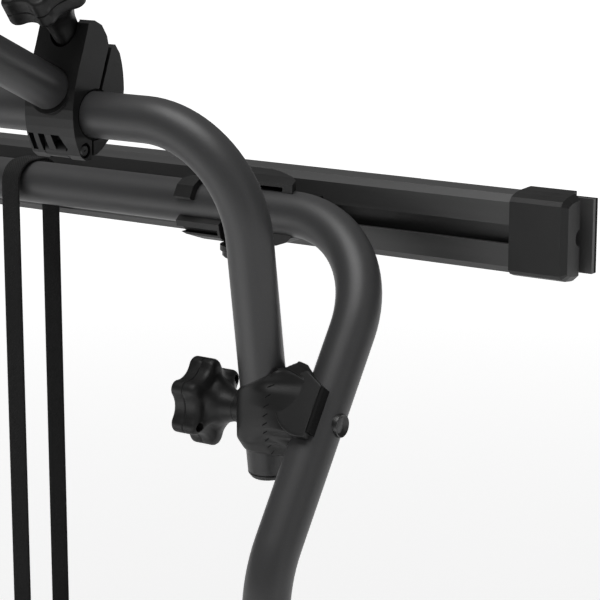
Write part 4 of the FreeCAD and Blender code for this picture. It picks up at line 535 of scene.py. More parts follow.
def woven_band():
    """Plain weave on the band's own coordinates: two sets of threads that pass over in turn."""
    tree, source, sink, at = new_group("woven_band", {"Thread": 0.0011}, ("Height", "Shade"))
    parts = separated(tree, at["UV"])
    across, along = [math_node(tree, "DIVIDE", parts[axis], source[0]) for axis in "XY"]
    waves = [math_node(tree, "SINE", math_node(tree, "MULTIPLY", value, math.pi))
             for value in (across, along)]
    over, under = [math_node(tree, "ABSOLUTE", wave) for wave in waves]
    join = add_node(tree, "CombineXYZ", {"X": across, "Y": along})
    chequer = add_node(tree, "TexChecker", {"Vector": join.outputs[0], "Scale": 1.0})
    height = add_node(tree, "Mix", {0: chequer.outputs["Fac"], 2: over, 3: under},
                      data_type="FLOAT").outputs[0]
    feed(tree, sink[0], height)
    feed(tree, sink[1], ramp(tree, height, 0.0, 1.0, 0.55, 1.0))
    return tree


def index_marks():
    """Mask of short marks on a circle about an axis along X, slanted a little to that axis.

    The mark number is the angle about the axis less a share of the distance from the circle, and
    a mark shows where its fraction is near a half and X is near the circle's own.
    """
    tree, source, sink, at = new_group(
        "index_marks", {"Axis Y": 0.0, "Axis Z": 0.0, "Circle X": 0.0, "Pitch": 0.17}, ("Mask",))
    parts = separated(tree, at["Object"])
    beside = math_node(tree, "SUBTRACT", math_node(tree, "ABSOLUTE", parts["X"]),
                       source["Circle X"])
    height = math_node(tree, "SUBTRACT", parts["Z"], source["Axis Z"])
    front = math_node(tree, "SUBTRACT", source["Axis Y"], parts["Y"])
    angle = math_node(tree, "ARCTAN2", height, front)
    number = math_node(tree, "SUBTRACT", angle, math_node(tree, "MULTIPLY", beside, TICK_SLANT))
    number = math_node(tree, "ADD", math_node(tree, "DIVIDE", number, source["Pitch"]), 40.5)
    aside = math_node(tree, "SUBTRACT", math_node(tree, "FRACT", number), 0.5)
    line = ramp(tree, math_node(tree, "ABSOLUTE", aside), 0.09, 0.06)
    near = ramp(tree, math_node(tree, "ABSOLUTE", beside), 0.0019, 0.0015)
    feed(tree, sink[0], math_node(tree, "MULTIPLY", line, near))
    return tree


GROUPS = {make.__name__: make for make in
          (moulded_grain, edge_rub, light_dust, coat_peel, draw_lines, woven_band, index_marks)}


def placed_group(tree, name, **values):
    """The outputs of a shared node group, which is made when it is first asked for."""
    made = tree.nodes.new("ShaderNodeGroup")
    made.node_tree = bpy.data.node_groups.get(name) or GROUPS[name]()
    for label, value in values.items():
        made.inputs[label.replace("_", " ")].default_value = value
    return made.outputs


def new_material(name, **constants):
    """A material, its tree and its shader, whose plain numbers are set on the shader itself."""
    made = bpy.data.materials.new(name)
    made.use_nodes = True
    shader = made.node_tree.nodes["Principled BSDF"]
    for label, value in constants.items():
        shader.inputs[label.replace("_", " ")].default_value = value
    return made, made.node_tree, shader


def layered(name, relief, slow, tones, rough, bump, dust, rub=None, specks=None, **constants):
    """A finish on one shader, whose colour is built up in layers.

    relief is a group with its scales, and slow names the output that the two tones are mixed by.
    rough is that output's range and the roughness at its ends, and bump the strength and distance
    of the group's height. Over the tones lie specks, by share and colour; rubbed edges, by width,
    scale, share and colour; and dust, by scale, share and colour.
    """
    made, tree, shader = new_material(name, **constants)
    relief = placed_group(tree, relief[0], **relief[1])
    base = mixed(tree, relief[slow], *tones)
    layers = [(relief["Speckle"],) + specks] if specks else []
    if rub:
        mask = placed_group(tree, "edge_rub", Edge_Width=rub[0], Break_Scale=rub[1])["Mask"]
        layers.append((mask,) + rub[2:])
    layers.append((placed_group(tree, "light_dust", Patch_Scale=dust[0])["Mask"],) + dust[1:])
    for mask, share, colour in layers:
        base = mixed(tree, math_node(tree, "MULTIPLY", mask, share), base, colour)
    feed(tree, shader.inputs["Base Color"], base)
    feed(tree, shader.inputs["Roughness"], ramp(tree, relief[slow], *rough))
    feed(tree, shader.inputs["Normal"], bumped(tree, relief["Height"], *bump))
    return made


DUST = grey(0.3, 0.03)
PLASTIC = (0.006, 0.009, 0.47)


def tube_paint():
    """Satin anthracite powder coat of the tubes."""
    look = bpy.context.scene.carrier_finish
    tone = tuple(look.coat_colour)
    return layered(
        "tube_paint", ("coat_peel", {"Peel_Scale": 650.0, "Tone_Scale": 7.0}), "Tone",
        (tone + (1.0,), tuple(part * 1.12 for part in tone) + (1.0,)),
        (0.0, 1.0, look.coat_roughness - 0.03, look.coat_roughness + 0.04), (0.22, 0.0002),
        (9.0, 0.06, grey(0.32, 0.03)), (0.0012, 120.0, 0.35, grey(0.16)), (0.35, grey(0.11)),
        Metallic=0.0, IOR=1.5, Specular_IOR_Level=0.5)


def rail_anodised():
    """Dark anodised extrusion with lines along it."""
    return layered(
        "rail_anodised", ("draw_lines", {}), "Tone", (grey(0.062), grey(0.076)),
        (0.0, 1.0, 0.36, 0.46), (0.12, 0.0002), (11.0, 0.06, DUST),
        (0.0008, 70.0, 0.35, grey(0.2)), IOR=1.5, Metallic=0.25)


def moulded_black(name, low, high, roughness, grain=1400.0, strength=0.25, gloss=0.42):
    """A black moulding between two greys, with its grain and its gloss."""
    return layered(
        name, ("moulded_grain", {"Grain_Scale": grain}), "Patches", (grey(low), grey(high)),
        (0.0, 1.0, roughness - 0.04, roughness + 0.05), (strength, 0.00015), (16.0, 0.05, DUST),
        (0.0009, 140.0, 0.3, grey(high * 3.2)), Metallic=0.0, IOR=1.48, Specular_IOR_Level=gloss)


def black_plastic():
    """Glass-filled nylon mouldings with a fine grain."""
    return moulded_black("black_plastic", *PLASTIC)


def coupling_moulding():
    """The same nylon with the coupling's index marks sunk in it, coloured near black inside as
    painted shade in the grooves.
    """
    made = moulded_black("coupling_moulding", *PLASTIC)
    tree = made.node_tree
    shader = tree.nodes["Principled BSDF"].inputs
    base, rough, grain = [shader[label].links[0].from_socket
                          for label in ("Base Color", "Roughness", "Normal")]
    marks = placed_group(tree, "index_marks", Axis_Y=COUPLING_AXIS[0], Axis_Z=COUPLING_AXIS[1],
                         Circle_X=TICK_X, Pitch=TICK_PITCH)["Mask"]
    # Near black in the marks is painted shade inside the sunk grooves.
    feed(tree, shader["Base Color"], mixed(tree, marks, base, grey(0.001)))
    feed(tree, shader["Roughness"], math_node(tree, "MAXIMUM", rough, marks))
    feed(tree, shader["Normal"], bumped(tree, marks, 1.0, TICK_DEPTH, grain, invert=True))
    return made


def rubber():
    """Dull black rubber of pads and liners."""
    return moulded_black("rubber", 0.004, 0.007, 0.82, 900.0, 0.35, 0.2)


def dark_metal(name, tone, roughness, metallic, grain):
    """A dark coated metal of one tone, brighter where its edges are rubbed."""
    return layered(
        name, ("coat_peel", {"Peel_Scale": grain, "Tone_Scale": 30.0}), "Tone",
        (grey(tone), grey(tone * 1.25)), (0.0, 1.0, roughness - 0.05, roughness + 0.06),
        (0.15, 0.0001), (20.0, 0.05, DUST), (0.0006, 160.0, 0.5, grey(tone * 3.0)),
        IOR=1.5, Metallic=metallic)


def bracket_plate():
    """Grey coated sheet steel."""
    return dark_metal("bracket_plate", 0.075, 0.45, 0.2, 700.0)


def fastener_steel():
    """Blackened zinc of bolts, nuts and screws."""
    return dark_metal("fastener_steel", 0.045, 0.34, 0.7, 1500.0)


def webbing():
    """Black polyester webbing."""
    return layered(
        "webbing", ("woven_band", {}), "Shade", (grey(0.003), grey(0.008)),
        (0.55, 1.0, 0.9, 0.72), (0.6, 0.00035), (26.0, 0.08, DUST), Metallic=0.0, IOR=1.45,
        Sheen_Weight=0.04, Sheen_Roughness=0.5, Specular_IOR_Level=0.3)


MATERIALS = {make.__name__: make for make in
             (tube_paint, rail_anodised, black_plastic, coupling_moulding, rubber, bracket_plate,
              fastener_steel, webbing)}


def material(name):
    """A finish, made when it is first asked for."""
    found = bpy.data.materials.get("carrier_" + name)
    if not found:
        found = MATERIALS[name]()
        found.name = "carrier_" + name
    return found


def length(name, description, default):
    """A length that the sidebar shows."""
    return FloatProperty(name=name, description=description, default=default, unit="LENGTH")


class CarrierSizes(bpy.types.PropertyGroup):
    tube_radius: length("Tube Radius", "Outside radius of the frame, bar and platform tubes", 0.015)
    arm_radius: length("Arm Radius", "Outside radius of the bike arms' tubes", 0.014)
    tube_wall: length("Tube Wall", "Wall of every tube", 0.002)
    frame_bend: length("Frame Bend", "Centre line radius of the frame's bends", 0.075)
    bar_bend: length("Bar Bend", "Centre line radius of the inner bar's bends", 0.072)
    knob_radius: length("Knob Radius", "Star knob over its lobes", 0.029)
    knob_valley: length("Knob Hollow", "Bottom of the hollows between the lobes, from the axis",
                        0.0222)
    claw_knob_radius: length("Claw Knob Radius", "Claw's star knob over its lobes", 0.019)
    strap_width: length("Safety Strap Width", "Webbing over the frame's top bar", 0.016)
    wheel_strap_width: length("Wheel Strap Width", "Webbing round the wheels", 0.022)


class CarrierFinish(bpy.types.PropertyGroup):
    coat_colour: FloatVectorProperty(
        name="Coat Colour", description="Powder coat of the tubes", subtype="COLOR", size=3,
        min=0.0, max=1.0, default=(0.043, 0.043, 0.044))
    coat_roughness: FloatProperty(
        name="Coat Roughness", description="Satin finish of the powder coat",
        default=0.42, min=0.0, max=1.0)


class CarrierView(bpy.types.PropertyGroup):
    lens: FloatProperty(
        name="Lens", description="Focal length on a 36 mm sensor", default=132.3,
        subtype="DISTANCE_CAMERA")
    place: FloatVectorProperty(
        name="Place", description="Where the camera stands", subtype="TRANSLATION", size=3,
        default=(1.183, -1.242, 0.2692))
    heading: FloatProperty(
        name="Heading", description="Turn of the view to the left of the door's own normal",
        default=math.radians(34.4), subtype="ANGLE")
    dip: FloatProperty(
        name="Dip", description="How far the view looks down", default=math.radians(12.7),
        subtype="ANGLE")


FRAME_X = 0.440
FRAME_BAR = (-0.0555, 0.0032)
FRAME_LEG_Y = -0.194
FRAME_LEAN = math.radians(34.7)
FRAME_JOINT_Z = -0.480
LEG_JOINT_Z = -0.4803
LOWER_RAIL_Z = -0.850
LEG_END_Y = -0.036
BAR_X = 0.398
BAR_TOP = (-0.161, 0.0752)
BAR_LEAN = math.radians(8.3)
BAR_LEG = 0.226
PLATFORM_TAIL_Y = -0.238
PLATFORM_BAR_Y = -0.620
PLATFORM_Z = -0.735
ARM_X = 0.264
ARM_RISE = math.radians(25.5)
ARM_OFFSET = 0.0072
ARM_ROOT = 0.024
ARM_LENGTHS = {"right": 0.215, "left": 0.405}


def arm_point(name, sign, beyond=0.0):
    """A point on a bike arm's axis, measured from the tube's far end."""
    distance = ARM_ROOT + ARM_LENGTHS[name] + beyond
    return np.array([ARM_X * sign,
                     BAR_TOP[0] + ARM_OFFSET * math.sin(ARM_RISE) - distance * math.cos(ARM_RISE),
                     BAR_TOP[1] + ARM_OFFSET * math.cos(ARM_RISE) + distance * math.sin(ARM_RISE)])


class CARRIER_OT_tubes(bpy.types.Operator):
    """Bend the tubes of the frame, the inner bar, the platform and the arms"""
    bl_idname = "carrier.tubes"
    bl_label = "Bend Tubes"

    def execute(self, context):
        sizes = context.scene.carrier_sizes
        knee_z = FRAME_BAR[1] - (FRAME_BAR[0] - FRAME_LEG_Y) / math.tan(FRAME_LEAN)
        foot = (BAR_TOP[0] + BAR_LEG * math.sin(BAR_LEAN),
                BAR_TOP[1] - BAR_LEG * math.cos(BAR_LEAN))
        bows = (
            ("outer_frame_tube", FRAME_X,
             ((FRAME_LEG_Y, FRAME_JOINT_Z), (FRAME_LEG_Y, knee_z), FRAME_BAR),
             sizes.frame_bend, (0, -1, 0), "frame", "frame_tube_upper"),
            ("inner_bar_bent", BAR_X, (foot, BAR_TOP), sizes.bar_bend, (0, -1, 0), "inner_bar",
             "inner_bar_tube"),
            ("platform_bent_tube", FRAME_X,
             ((PLATFORM_TAIL_Y, PLATFORM_Z), (PLATFORM_BAR_Y, PLATFORM_Z)),
             sizes.frame_bend, (0, 0, 1), "platform", "platform_tube"))
        jobs = []
        for name, x, half, bend, aside, body, node in bows:
            corners = [(x, y, z) for y, z in half] + [(-x, y, z) for y, z in half[::-1]]
            jobs.append((name, corners, bend, sizes.tube_radius, aside, body, node))
        for name, sign in SIDES:
            x = FRAME_X * sign
            corners = ((x, FRAME_LEG_Y, LEG_JOINT_Z), (x, FRAME_LEG_Y, LOWER_RAIL_Z),
                       (x, LEG_END_Y, LOWER_RAIL_Z))
            jobs.append(("lower_leg_" + name, corners, sizes.frame_bend, sizes.tube_radius,
                         (1, 0, 0), "frame", "frame_leg_" + name))
        for name, sign in SIDES:
            ends = (arm_point(name, sign, -ARM_LENGTHS[name]), arm_point(name, sign))
            jobs.append(("bike_arm_" + name, ends, 0.0, sizes.arm_radius, (1, 0, 0),
                         name + "_arm", "arm_tube_" + name))
        for name, corners, bend, radius, aside, body, node in jobs:
            corners = shortened(corners, sizes.tube_wall / 2.0)
            grid = tube_grid(corners, bend, radius, sizes.tube_wall, aside)
            add_piece(name, [grid], body, "tube_paint", node)
        return {"FINISHED"}


SAFETY_THICK = 0.0018
SAFETY_BEND = 0.0154
SAFETY_SPACING = 0.004
WHEEL_THICK = 0.002
WHEEL_STRAP_X = 0.52
WHEEL_SIDE = ((-6.0, 9.3), (0.0, 9.3), (0.0, 31.5), (-4.5, 55.5))
CHANNEL_GAP = 0.0003
CORNER_SHARE = 0.45


def loop_line(front, rear, top, low, bend, x, steps=9):
    """A closed loop in a plane across the rails: straight strands joined by rounded corners."""
    swing = np.linspace(0.0, math.pi / 2.0, steps)
    arc = stacked(np.sin(swing), np.cos(swing))
    line = []
    for y, z, way in ((front, top, (-1.0, 1.0)), (rear, top, (1.0, 1.0)),
                      (rear, low, (1.0, -1.0)), (front, low, (-1.0, -1.0))):
        centre = np.array([y, z]) - bend * np.array(way)
        line.append(centre + bend * (arc if way[0] == way[1] else arc[::-1]) * way)
    return np.insert(np.concatenate(line), 0, x, axis=1)


def close_spaced(line, spacing):
    """A closed line sampled evenly along its length."""
    closed = np.concatenate([line, line[:1]])
    gone = distance_along(closed)
    even = np.linspace(0.0, gone[-1], max(8, int(gone[-1] / spacing)), endpoint=False)
    return np.stack([np.interp(even, gone, closed[:, axis]) for axis in range(3)], axis=1)


class CARRIER_OT_webbing(bpy.types.Operator):
    """Weave the safety strap and the wheel straps"""
    bl_idname = "carrier.webbing"
    bl_label = "Weave Straps"

    def execute(self, context):
        sizes = context.scene.carrier_sizes
        low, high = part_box("safety_strap")
        half = SAFETY_THICK / 2.0
        line = loop_line(low.y + half, high.y - half, high.z - half, low.z + half, SAFETY_BEND,
                         (low.x + high.x) / 2)
        grid = band_grid(close_spaced(line, SAFETY_SPACING), sizes.strap_width, SAFETY_THICK, True)
        add_piece("safety_strap_loop", [grid], "frame", "webbing", "safety_strap")

        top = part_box("wheel_straps")[1].z - WHEEL_THICK / 2.0
        grids = []
        for channel in ("wheel_channel_inner", "wheel_channel_outer"):
            low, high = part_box(channel)
            reach = (high.y - low.y) / 2.0 + CHANNEL_GAP + WHEEL_THICK / 2.0
            side = np.append(mm(WHEEL_SIDE) + (reach, 0.0), [(reach * 0.5, top - low.z)], axis=0)
            path = smooth_profile(np.append(side, side[::-1] * (-1.0, 1.0), axis=0),
                                  CORNER_SHARE, 9)
            path += ((low.y + high.y) / 2.0, low.z)
            for name, sign in SIDES:
                band = band_grid(np.insert(path, 0, WHEEL_STRAP_X * sign, axis=1),
                                 sizes.wheel_strap_width, WHEEL_THICK, False)
                grids += [band, end_cap(band, 0), end_cap(band, -1)]
        add_piece("wheel_strap_loops", grids, "platform", "webbing", "wheel_straps")
        return {"FINISHED"}


KNOB_RISE = math.radians(55.0)
KNOB_SEAT = (-0.158, 0.119)
KNOB_LIFT = 0.0333
KNOB_THICK = 0.020
KNOB_EDGE = ((0.0, 4.2), (0.3, 2.8), (1.2, 1.4), (2.6, 0.4), (4.2, -0.2))
KNOB_FLARE = ((24.0, -0.3), (18.5, -1.6), (12.5, -6.8), (10.3, -12.5), (9.7, -15.8))
SHORT_STEM = ((9.7, -16.3), (9.2, -17.0), (4.6, -17.0), (4.0, -17.2), (4.0, -21.6), (3.4, -22.0),
              (0.0, -22.0))
LONG_STEM = ((9.4, -20.0), (8.9, -28.0), (8.4, -30.0), (6.8, -32.6), (6.4, -33.0), (4.4, -33.0),
             (4.0, -33.2), (4.0, -66.4), (3.4, -67.0), (0.0, -67.0))
CLAW_THICK = 0.014
CLAW_HOLLOW = 0.80
CLAW_EDGE = ((0.0, 3.6), (0.4, 2.0), (1.4, 0.8), (3.0, 0.0))
CLAW_STEM = ((12.0, -0.4), (9.8, -2.4), (8.8, -5.0), (8.5, -6.0), (5.2, -6.0), (5.0, -6.2),
             (5.0, -45.0), (4.2, -46.0), (0.0, -46.0))
CLAW_SCREW_RISE = 0.021
CLAW_KNOB_REACH = 0.106


def box_middle(name):
    """The middle of a node's box."""
    low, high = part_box(name)
    return (low.x + high.x) / 2.0, (low.y + high.y) / 2.0, (low.z + high.z) / 2.0


def up_and_out(rise):
    """A direction away from the door that rises by an angle."""
    return np.array([0.0, -math.cos(rise), math.sin(rise)])


class CARRIER_OT_knobs(bpy.types.Operator):
    """Mould the star knobs of the couplings, the arms and the claws"""
    bl_idname = "carrier.knobs"
    bl_label = "Mould Star Knobs"

    def execute(self, context):
        sizes = context.scene.carrier_sizes
        rim = sizes.knob_radius
        face = rim_face(rim, KNOB_THICK)
        flare = smooth_profile(mm(KNOB_FLARE), CORNER_SHARE, 6)[1:]
        short, long = [
            star_knob_grid(rim, sizes.knob_valley, face,
                           knob_back(rim, KNOB_EDGE, np.concatenate([flare, mm(stem)])),
                           HOLE_RADIUS) for stem in (SHORT_STEM, LONG_STEM)]
        rim = sizes.claw_knob_radius
        claw = star_knob_grid(rim, rim * CLAW_HOLLOW, rim_face(rim, CLAW_THICK),
                              knob_back(rim, CLAW_EDGE, mm(CLAW_STEM)))
        jobs, claws = [], []
        for name, sign in SIDES:
            low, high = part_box("coupling_knob_" + name)
            x = (low.x if sign > 0 else high.x) + sign * KNOB_THICK
            origin = (x, *box_middle("coupling_knob_" + name)[1:])
            jobs.append(("coupling_star_" + name, short, origin, (-sign, 0, 0), (0, 0, 1),
                         "coupling_knob_" + name, "coupling_knob_" + name))
            along = up_and_out(KNOB_RISE)
            origin = np.array([ARM_X * sign, *KNOB_SEAT]) + along * KNOB_LIFT
            jobs.append(("arm_star_" + name, long, origin, along, (1, 0, 0),
                         name + "_arm_knob", "arm_knob_" + name))
            square = np.array([0.0, math.sin(ARM_RISE), math.cos(ARM_RISE)])
            origin = arm_point(name, sign, CLAW_KNOB_REACH) + CLAW_SCREW_RISE * square
            claws.append(("claw_star_" + name, claw, origin, up_and_out(ARM_RISE), (1, 0, 0),
                          name + "_claw_knob", "claw_knob_" + name))
        for name, grid, origin, axis, up, body, node in jobs + claws:
            add_piece(name, [placed(grid, origin, axis, up)], body, "black_plastic", node)
        return {"FINISHED"}


COUPLING_AXIS = (-0.1339, -0.110)
TICK_X = 0.4135
TICK_PITCH = math.radians(13.7)
TICK_SLANT = 30.0
TICK_DEPTH = 0.0012
BOSS_X = 0.3774
BOSS = ((0.0, 0.0), (9.6, 0.0), (10.1, 0.5), (10.1, 7.5), (0.0, 7.5))
BORE = 15.25

BLOCK_LOW = -24.0
BLOCK_HIGH = 36.0
BLOCK_EDGE = 1.6
BLOCK_CORNER = 2.0
BLOCK_TOP = ((-30.0, 13.5, 16.0, 18.5, 21.5, 25.0, 30.0, 36.0, 50.0),
             (7.8, 29.8, 31.8, 33.4, 33.8, 33.0, 30.6, 27.4, 22.0))
DRUM_FRONT = ((-24.0, -20.0, -15.0, -9.9, -3.8, 2.1, 10.0, 19.8, 24.0, 27.6, 30.4, 36.0),
              (-11.0, -14.0, -17.2, -19.8, -21.2, -21.4, -20.8, -17.6, -14.0, -9.0, -4.0, 3.0))
NECK_X = 13.3
NECK_BACK = 17.0
DRUM_X = 22.0
DRUM_BACK = 15.0
DRUM_END = (24.0, 6.0, -10.0)
DRUM_ABOVE = 35.0
DRUM_BELOW = 26.0
COLLAR = 18.8
COLLAR_TAPER = 0.62
COLLAR_TAPER_TOP = -16.0
LEG_X = 42.0
PAD_BASE = 19.0
PAD_BASE_RISE = 4.0
PAD_BASE_OVER = 6.0
PAD_BASE_LOW = -21.0
PAD_BASE_ACROSS = (-18.0, -12.0, -6.0, 0.0, 3.2)
PAD_PLANE = 16.6
LIP_PLANE = 8.0
LIP_X = 45.2
LIP_LEVELS = (-14.0, 26.0)

PAD_REACH = 22.3
PAD_SIDE = 5.2
PAD_SLANT = 13.8
PAD_SLANT_WAY = (0.51, 0.86)
PAD_MIDDLE = 4.6
PAD_TOP = 21.0
PAD_FOOT = 13.0
PAD_EDGE = 0.9
PAD_TILT = 0.05

LINER_OUT = 16.9
LINER_SIDE = 7.6
LINER_ARC = (-math.pi / 2.0 - 0.9, -0.44)
LINER_ENDS = (-13.7, 16.6)
LINER_LIP = ((7.6, 20.3), (7.3, 20.6), (5.6, 20.6), (5.3, 20.3), (5.3, 16.1))


def section_circles(rise):
    """Circles that a level section of the coupling block is stretched round, in millimetres.

    rise is the section's height over the coupling's axis. Each row gives x and y from the bar's
    own axis and a radius: the collar, both sides of the neck, the drum under the index marks and
    the base of the front pad, whose plane leans with the frame's leg. A circle that a level
    doesn't have lies inside the collar.
    """
    none = np.zeros_like(rise)
    drum = np.interp(rise, *DRUM_FRONT)
    back = rise / np.where(rise > 0.0, DRUM_ABOVE, DRUM_BELOW)
    back = np.sqrt(np.maximum(1.0 - back ** 2, 0.0))
    collar = COLLAR - COLLAR_TAPER * np.maximum(COLLAR_TAPER_TOP - rise, 0.0)
    circles = [(none, none, collar)]
    for x, y in ((NECK_X, drum), (NECK_X, NECK_BACK * back), (DRUM_X, DRUM_BACK * back),
                 (DRUM_END[0], np.maximum(drum + DRUM_END[1], DRUM_END[2]))):
        circles.append((none + x, y, BLOCK_CORNER))
    lean, stand = math.sin(FRAME_LEAN), math.cos(FRAME_LEAN)
    for across in PAD_BASE_ACROSS:
        reach = math.sqrt(PAD_BASE ** 2 - across ** 2)
        under = (PAD_BASE_RISE - reach - stand * rise) / lean
        over = (PAD_BASE_RISE + reach + PAD_BASE_OVER - stand * rise) / lean
        y = np.maximum((lean * rise - PAD_PLANE) / stand, under)
        there = (y <= over) & (rise > PAD_BASE_LOW)
        circles.append((np.where(there, LEG_X + across, 0.0), np.where(there, y, 0.0),
                        BLOCK_CORNER))
    there = (rise > LIP_LEVELS[0]) & (rise < LIP_LEVELS[1])
    y = (lean * rise - LIP_PLANE) / stand
    circles.append((np.where(there, LIP_X, 0.0), np.where(there, y, 0.0), BLOCK_CORNER))
    sway = math.tan(BAR_LEAN) * rise
    return [(x, y + sway, radius) for x, y, radius in circles]


def section_reach(angle, rise):
    """Reach from the bar's axis to a level section's outline, rows by rise and columns by angle.

    The outline is a band stretched round the section's circles. The band's distance from the axis
    in a direction is the farthest that any circle goes that way, and the reach is the smallest of
    those distances over the cosine of the angle to them.
    """
    way = np.linspace(0.0, TURN, 361)[:-1]
    far = np.max([x[:, None] * np.cos(way) + y[:, None] * np.sin(way)
                  + np.reshape(radius, (-1, 1)) for x, y, radius in section_circles(rise)], axis=0)
    along = np.cos(way[None, :] - angle[:, None])
    ratio = np.where(along > 0.05, 1.0 / np.maximum(along, 0.05), np.inf)
    return np.min(far[:, None, :] * ratio[None, :, :], axis=2)


def block_grid(around=144, rows=46):
    """The coupling's block about the bar's leg: its skin, its slanted top and its bore as one ring.

    The rows go up the outside from the flat bottom to the top, whose height follows the reach
    along the rail, in over a rounded edge to the bore, and back down.
    """
    angle = whole_turn(around)
    levels = np.linspace(BLOCK_LOW, BLOCK_HIGH, 121)
    reach = section_reach(angle, levels)
    for _ in range(5):
        reach[1:-1] = 0.25 * reach[:-2] + 0.5 * reach[1:-1] + 0.25 * reach[2:]
        once = reach[:, :-1]
        once = 0.25 * np.roll(once, 1, axis=1) + 0.5 * once + 0.25 * np.roll(once, -1, axis=1)
        reach = np.concatenate([once, once[:, :1]], axis=1)
    columns = np.arange(around + 1)

    def reach_at(rise):
        """Reach at any height, between the two levels next to it."""
        step = (rise - BLOCK_LOW) / (levels[1] - levels[0])
        step = np.clip(step, 0.0, len(levels) - 1.001)
        before = step.astype(int)
        part = step - before
        return reach[before, columns] * (1.0 - part) + reach[before + 1, columns] * part

    top = np.full(around + 1, 24.0)
    for _ in range(12):
        x = reach_at(top[None, :])[0] * np.cos(angle)
        top = 0.5 * top + 0.5 * np.interp(x, *BLOCK_TOP)
    up = BLOCK_LOW + (top - BLOCK_LOW)[None, :] * np.linspace(0.0, 1.0, rows)[:, None]
    near = np.minimum(up - BLOCK_LOW, top[None, :] - up)
    bite = np.clip(1.0 - near / BLOCK_EDGE, 0.0, 1.0)
    out = reach_at(up) - BLOCK_EDGE * (1.0 - np.sqrt(1.0 - bite ** 2))
    inward = np.linspace(0.0, 1.0, 7)[1:, None]
    cap = out[-1] + (BORE - out[-1]) * inward
    floor = out[0] + (BORE - out[0]) * inward[::-1]
    radius = np.concatenate([out, cap, floor, out[:1]])
    height = np.concatenate([up, np.interp(cap * np.cos(angle), *BLOCK_TOP),
                             np.full(floor.shape, BLOCK_LOW), up[:1]])
    sway = math.tan(BAR_LEAN) * height
    points = stacked(radius * np.cos(angle), radius * np.sin(angle) - sway, height)
    return mm(points) + (BAR_X, *COUPLING_AXIS), stacked(angle * 0.02, mm(height))


def pad_grid(around=144):
    """The round front pad: its outline drawn in toward its middle, with a rounded upper edge.

    The outline is a circle cut by the liner's edge and by a slant above.
    """
    angle = whole_turn(around)
    across, along = np.cos(angle), np.sin(angle)
    outline = np.minimum(np.minimum(PAD_REACH, PAD_SIDE / np.maximum(across, 1e-3)),
                         PAD_SLANT / np.maximum(stacked(across, along) @ PAD_SLANT_WAY, 1e-3))
    swing = np.linspace(0.0, math.pi / 2.0, 6)
    inset = np.append(PAD_EDGE * (1.0 - np.sin(swing)), 0.0)[:, None]
    radius = np.concatenate([outline * np.linspace(0.0, 0.9, 8)[:, None], outline - inset,
                             [outline * 0.0]])
    height = np.concatenate([np.full(8, PAD_TOP), PAD_TOP - PAD_EDGE * (1.0 - np.cos(swing)),
                             [PAD_FOOT, PAD_FOOT]])[:, None]
    x = radius * across
    tilted = height + np.where(height > PAD_FOOT + 1.0, PAD_TILT * (PAD_SIDE - x), 0.0)
    points = mm(stacked(x, radius * along + PAD_MIDDLE, tilted))
    return points, stacked(angle * 0.02, mm(height))


def liner_grid(steps=36):
    """The rubber liner round the frame's leg: a bent strip of one section, carried along the leg.

    The section is an arc round the leg whose end turns up beside the front pad as a thin lip. At
    both ends the section is drawn to its middle, which closes the strip.
    """
    swing = np.linspace(*LINER_ARC, steps)
    arc = stacked(np.sin(swing), np.cos(swing))
    inner = BORE * arc
    tail = np.linspace(inner[-1, 0], LINER_SIDE, 10)[1:]
    tail = stacked(tail, np.sqrt(BORE ** 2 - tail ** 2))
    section = np.concatenate([inner, tail, LINER_LIP, LINER_OUT * arc[::-1], inner[:1]])
    along = np.repeat(LINER_ENDS, 2)[:, None]
    spread = np.array([0.0, 1.0, 1.0, 0.0])[:, None, None]
    middle = section.mean(axis=0)
    section = middle + (section - middle) * spread
    points = mm(stacked(section[:, :, 0], along, section[:, :, 1]))
    return points, mm(stacked(np.arange(section.shape[1]), along))


class CARRIER_OT_couplings(bpy.types.Operator):
    """Mould the blocks that join the inner bar to the frame, with their liners"""
    bl_idname = "carrier.couplings"
    bl_label = "Mould Couplings"

    def execute(self, context):
        leg = ((FRAME_X, *COUPLING_AXIS), up_and_out(FRAME_LEAN), (1, 0, 0))
        boss = placed(revolved_grid(mm(BOSS)), (BOSS_X, *COUPLING_AXIS), (1, 0, 0), (0, 0, 1))
        hood = [block_grid(), boss, placed(pad_grid(), *leg)]
        liner = placed(liner_grid(), *leg)
        liners = []
        for name, sign in SIDES:
            mirror = (sign, 1.0, 1.0)
            grids = [(points * mirror, flat) for points, flat in hood]
            liners.append((liner[0] * mirror, liner[1]))
            add_piece("coupling_hood_" + name, grids, "frame", "black_plastic",
                      "coupling_block_" + name, "coupling_moulding", 32.0)
        add_piece("coupling_liner_pair", liners, "frame", "rubber", "coupling_pads", sharp=32.0)
        return {"FINISHED"}


BOLT_SUNK = 0.0021
BOLT_HEAD = ((0.0, 0.6), (2.4, 0.9), (4.6, 1.8), (6.0, 2.9), (6.8, 3.6), (7.2, 3.7), (7.5, 3.4),
             (7.7, 2.6), (7.7, 0.0), (4.0, 0.0))
BOLT_STUD = ((4.0, -25.5), (3.4, -26.1), (0.0, -26.1))


class CARRIER_OT_bolts(bpy.types.Operator):
    """Turn the bolts through the frame's legs, whose dished heads are sunk in the tube"""
    bl_idname = "carrier.bolts"
    bl_label = "Turn Coupling Bolts"

    def execute(self, context):
        base = context.scene.carrier_sizes.tube_radius - BOLT_SUNK
        bolt = revolved_grid(np.concatenate([mm(BOLT_HEAD) + (0.0, base), mm(BOLT_STUD)]))
        y, z = box_middle("coupling_bolts")[1:]
        grids = [placed(bolt, (FRAME_X * sign, y, z), (sign, 0, 0), (0, 0, 1))
                 for name, sign in SIDES]
        add_piece("coupling_bolt_pair", grids, "frame", "fastener_steel", "coupling_bolts",
                  sharp=30.0)
        return {"FINISHED"}


